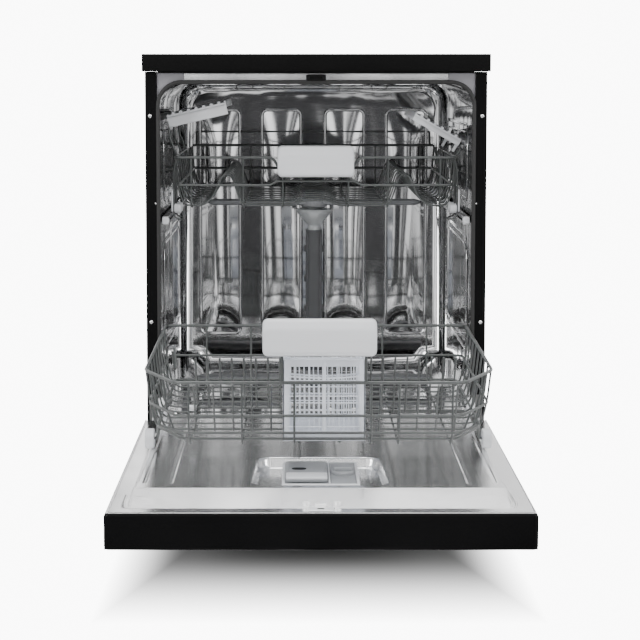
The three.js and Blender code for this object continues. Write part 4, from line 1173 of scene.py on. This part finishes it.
def lower_rack():
    """The rack's wires: rings, floor wires, wall wires and the fixed row of tines."""
    thick = [tube(ring_path(264, -469, 20, 361, 369, 51), 0.0026, closed=True),
             tube(ring_path(258, -465, 15, 311, 317, 49), 0.0021, closed=True),
             tube(ring_path(247, -456, 8, 275, 275, 45), 0.0021, closed=True)]
    thick += wires([[(-236, -420, 287), (-204, -462, 285), (204, -462, 285), (236, -420, 287)]], 2.1)
    thin = []
    for x in (-192, -114, -37, 76, 117, 195):
        thin.append([(x, -469, 361), (x, -466.5, 311), (x, -463, 285), (x, -455, 268), (x, -436, 264.5),
                     (x, 2, 264.5), (x, 14, 300), (x, 20, 369)])
    for y in np.linspace(-358, -22, 9):
        top = 361 + 8 * (y + 369) / 389
        thin.append([(-264, y, top), (-258.5, y, 314), (-250, y, 276), (-238, y, 267.5), (238, y, 267.5),
                     (250, y, 276), (258.5, y, 314), (264, y, top)])
    for side in (-1, 1):
        for x, y in ((252, -393), (234, -428)):
            thin.append([(side * x, y, 361), (side * (x - 7), y + 5, 311), (side * (x - 18), y + 10, 276),
                         (side * (x - 30), y + 20, 268)])
    tines = []
    for x in np.arange(84, 226, 19):
        tines.append([(x, -233, 268), (x, -283, 362), (x, -285, 366)])
    for x in np.concatenate([np.arange(-187, -60, 28.7), np.arange(92, 216, 28.7)]):
        tines.append([(x, -370, 268), (x, -424, 346), (x, -427, 350)])
    rods = wires([[(76, -233, 270.5), (236, -233, 270.5)], [(-242, -370, 270.5), (-62, -370, 270.5)],
                  [(84, -370, 270.5), (242, -370, 270.5)], [(-30, -440, 267), (-30, 4, 267)],
                  [(30, -440, 267), (30, 4, 267)]], 2.0)
    stays = wires([[(-55, -469, 361), (-55, -471, 420), (68, -471, 420), (68, -469, 361)],
                   [(-236, -200, 361), (-232, -196, 330), (-232, -164, 330), (-236, -160, 361)]], 2.1)
    plates = []
    for name in ("front", "rear"):
        lo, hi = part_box(f"lower_wheel_{name}_left")
        y, z = (lo.y + hi.y) / 2, (lo.z + hi.z) / 2
        for side in (-1, 1):
            near = side * (abs(hi.x) - 0.0012)
            for dy in (-0.03, 0.03):
                path = [(side * 0.247, y + dy, 0.275), (side * 0.249, y + dy * 0.7, 0.266),
                        (side * 0.250, y + dy * 0.2, z + 0.004), (near, y, z)]
                plates.append(tube(bent(path, 0.006), 0.0021))
    return thick + wires(thin, 1.6, bend=9) + wires(tines, 1.6, bend=8) + rods + stays + plates


piece("lower_rack_wires", lower_rack(), nylon, "lower_rack", ["lower_basket"], crease=60)
lo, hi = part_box("folding_tines")
y, z = hi.y - 0.002, lo.z + 0.002
row = [tube([(x, y, z) for x in np.linspace(lo.x, hi.x, 12)], 0.0021)]
for x in np.linspace(lo.x + 0.004, hi.x - 0.004, 8):
    row.append(tube(bent([(x, y, z), (x, y - 0.048, z + 0.086), (x, y - 0.0495, z + 0.0895)], 0.002),
                    0.0017))
piece("folding_tine_row", row, nylon, "folding_tines", ["folding_tines"], crease=60)
clips = [block((x - 0.006, y - 0.006, z - 0.005), (x + 0.006, y + 0.006, z + 0.004), axis=0,
               corner=0.004, edge=0.001) for x in (lo.x - 0.004, hi.x + 0.006)]
piece("tine_clips", clips, pale, "lower_rack")
grip_bar("lower_rack_grip", "lower_handle", "lower_rack", 0.014, 0.002)

for name in ("front_left", "front_right", "rear_left", "rear_right"):
    lo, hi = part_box(f"lower_wheel_{name}")
    centre = ((lo.x + hi.x) / 2, (lo.y + hi.y) / 2, (lo.z + hi.z) / 2)
    reach, deep = (hi.z - lo.z) / 2, (hi.x - lo.x) / 2
    tread = [(0.003, -deep + 0.003), (0.006, -deep), (0.007, -deep + 0.002),
             (reach - 0.004, -deep + 0.003), (reach - 0.003, -deep), (reach - 0.001, -deep),
             (reach, -deep + 0.0015), (reach, deep - 0.0015), (reach - 0.001, deep),
             (reach - 0.003, deep), (reach - 0.004, deep - 0.003), (0.007, deep - 0.002), (0.006, deep),
             (0.003, deep - 0.003)]
    spokes = [block((lo.x + 0.001, centre[1] - 0.001, centre[2] + 0.005),
                    (hi.x - 0.001, centre[1] + 0.001, centre[2] + reach - 0.002), axis=2, corner=0.0006,
                    edge=0.0004)]
    turned = []
    for t in np.arange(6) * math.pi / 3:
        points, faces = spokes[0]
        flat = points[:, 1:] - centre[1:]
        spun = flat @ np.array([[math.cos(t), math.sin(t)], [-math.sin(t), math.cos(t)]]) + centre[1:]
        turned.append((np.column_stack([points[:, 0], spun]), faces))
    piece(f"rack_wheel_{name}", [lathe(tread, centre, axis=0, sides=40), *turned], pale,
          f"lower_wheel_{name}", [f"lower_wheel_{name}"])

# ---- Cutlery basket ----
# A pale blue-grey moulded basket: solid corner posts and bands, thin bars between them, four thin
# horizontal ribs, a lattice wall across its middle and a scalloped rib under its rim.

basket_blue = finish("basket_moulding", (0.66, 0.69, 0.75), (0.73, 0.76, 0.82), 0.36, grain=1200, bump=0.08)


def basket_side(lo, hi, axis, at_low):
    """One lattice wall of the basket, at the low or high end of an axis: its frame, its bars about
    seven millimetres apart, its ribs, and scallops that follow a sine under the rim."""
    other = 1 - axis
    deep = 0.0026
    near = lo[axis] if at_low else hi[axis] - deep

    def slab(u0, u1, z0, z1, sink=0.0, edge=0.0006, corner=0.0008, along=None):
        low, high = np.zeros(3), np.zeros(3)
        low[axis], high[axis] = near + sink, near + deep - sink
        low[other], high[other], low[2], high[2] = u0, u1, z0, z1
        return block(low, high, axis=axis if along is None else along, corner=corner, edge=edge)

    u0, u1, z0, z1 = lo[other], hi[other], lo[2], hi[2]
    parts = [slab(u0, u0 + 0.010, z0, z1), slab(u1 - 0.010, u1, z0, z1),
             slab(u0 + 0.004, u1 - 0.004, z0, z0 + 0.015, 0.0003),
             slab(u0 + 0.004, u1 - 0.004, z1 - 0.011, z1, 0.0003)]
    for z in (z0 + 0.021, z0 + 0.046, z0 + 0.057, z0 + 0.067):
        parts.append(slab(u0 + 0.006, u1 - 0.006, z - 0.0008, z + 0.0008, -0.0004))
    count = int(round((u1 - u0 - 0.020) / 0.0072))
    for number, u in enumerate(np.linspace(u0 + 0.010, u1 - 0.010, count + 1)[1:-1]):
        top = z1 - 0.008 if number % 3 == 0 else z1 - 0.026
        parts.append(slab(u - 0.0008, u + 0.0008, z0 + 0.013, top, 0.0005, edge=0.0004))
    run = np.linspace(0, 1, 33)
    drop = z1 - 0.024 - 0.003 * np.abs(np.sin(run * math.pi))
    lines = np.zeros((len(run), 4, 3))
    lines[:, :, other] = (u0 + 0.006 + run * (u1 - u0 - 0.012))[:, None]
    lines[:, (0, 1), axis] = near + 0.0002
    lines[:, (2, 3), axis] = near + deep - 0.0002
    lines[:, (1, 2), 2] = (drop - 0.0022)[:, None]
    lines[:, (0, 3), 2] = drop[:, None]
    parts.append(skin(lines))
    return parts


lo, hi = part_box("cutlery_basket")
basket = []
for axis in (0, 1):
    for at_low in (True, False):
        basket += basket_side(lo, hi, axis, at_low)
middle = (lo.y + hi.y) / 2
inner_lo = np.array((lo.x + 0.002, middle - 0.0013, lo.z + 0.002))
inner_hi = np.array((hi.x - 0.002, middle + 0.0013, hi.z - 0.008))
basket += basket_side(inner_lo, inner_hi, 1, True)
for x in np.linspace(lo.x + 0.002, hi.x - 0.002, 13):
    basket.append(block((x - 0.0012, lo.y + 0.001, lo.z), (x + 0.0012, hi.y - 0.001, lo.z + 0.003), axis=1,
                        corner=0.001, edge=0.0006))
for y in np.linspace(lo.y + 0.002, hi.y - 0.002, 13):
    basket.append(block((lo.x + 0.001, y - 0.0012, lo.z + 0.0002),
                        (hi.x - 0.001, y + 0.0012, lo.z + 0.0028), axis=0, corner=0.001, edge=0.0006))
x_mid = (lo.x + hi.x) / 2
basket.append(block((x_mid - 0.003, lo.y - 0.001, lo.z + 0.012),
                    (x_mid + 0.003, lo.y + 0.003, hi.z - 0.004), axis=1, corner=0.002, edge=0.001))
piece("cutlery_basket_moulding", basket, basket_blue, "cutlery_basket",
      ["cutlery_basket"])

# ---- Pumps and connections ----
# Under the tub lie two motor pumps with finned cases. The inlet valve, the drain spigot and the
# gland for the supply lead come through the foot of the back.

lo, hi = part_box("circulation_pump")
reach = (hi.z - lo.z) / 2
centre = (lo.x, (lo.y + hi.y) / 2, (lo.z + hi.z) / 2)
case = [(0.001, 0.0), (reach * 0.8, 0.0), (reach, 0.006), (reach, 0.035)]
for k in range(7):
    case += [(reach, 0.04 + 0.01 * k), (reach - 0.005, 0.041 + 0.01 * k), (reach - 0.005, 0.046 + 0.01 * k),
             (reach, 0.047 + 0.01 * k)]
case += [(reach * 0.85, hi.x - lo.x - 0.004), (reach * 0.3, hi.x - lo.x - 0.003),
         (reach * 0.28, hi.x - lo.x), (0.001, hi.x - lo.x)]
piece("wash_pump_case", [lathe(case, centre, axis=0, sides=36)], moulding, "cabinet",
      ["circulation_pump"])
lo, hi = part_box("drain_pump")
reach = (hi.z - lo.z) / 2
centre = ((lo.x + hi.x) / 2, lo.y, (lo.z + hi.z) / 2)
case = [(0.001, 0.0), (reach * 0.7, 0.0), (reach, 0.005), (reach, 0.03), (reach * 0.8, 0.032),
        (reach * 0.8, 0.07), (reach * 0.55, 0.078), (reach * 0.5, hi.y - lo.y), (0.001, hi.y - lo.y)]
piece("drain_pump_case", [lathe(case, centre, axis=1, sides=32)], moulding, "cabinet",
      ["drain_pump"])

lo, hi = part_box("water_inlet_valve")
thread = [(0.008, 0.0), (0.0105, 0.0)]
for k in range(6):
    thread += [(0.012, 0.0012 + 0.0024 * k), (0.0105, 0.0024 + 0.0024 * k)]
thread = [(r, hi.y - lo.y - 0.02 + h) for r, h in thread] + [(0.0105, hi.y - lo.y), (0.0085, hi.y - lo.y),
                                                             (0.008, hi.y - lo.y - 0.01)]
valve = [block(lo, (hi.x, hi.y - 0.014, hi.z), corner=0.005, edge=0.002),
         lathe(thread + thread[:1], (-0.228, lo.y, 0.1), axis=1, sides=32)]
piece("inlet_valve_body", [valve[0], (valve[1][0], valve[1][1][:-2])], pale, "cabinet",
      ["water_inlet_valve"])
for node, slot_name in (("drain_spigot", "grey_plastic"), ("cable_gland", "black_plastic")):
    lo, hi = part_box(node)
    reach = (hi.x - lo.x) / 2
    long = hi.y - lo.y
    pipe = [(reach - 0.003, 0.004), (reach - 0.003, long), (reach - 0.001, long), (reach, long - 0.002),
            (reach - 0.0012, long - 0.006), (reach, long - 0.0085), (reach - 0.0012, long - 0.012),
            (reach, long - 0.0145), (reach - 0.001, long - 0.018), (reach - 0.001, 0.0),
            (reach - 0.003, 0.0)]
    points, faces = lathe(pipe + pipe[:1], ((lo.x + hi.x) / 2, lo.y, (lo.z + hi.z) / 2), axis=1, sides=32)
    stuff = grey_moulding if slot_name == "grey_plastic" else moulding
    piece(f"{node}_moulding", [(points, faces[:-2])], stuff, "cabinet", [node])
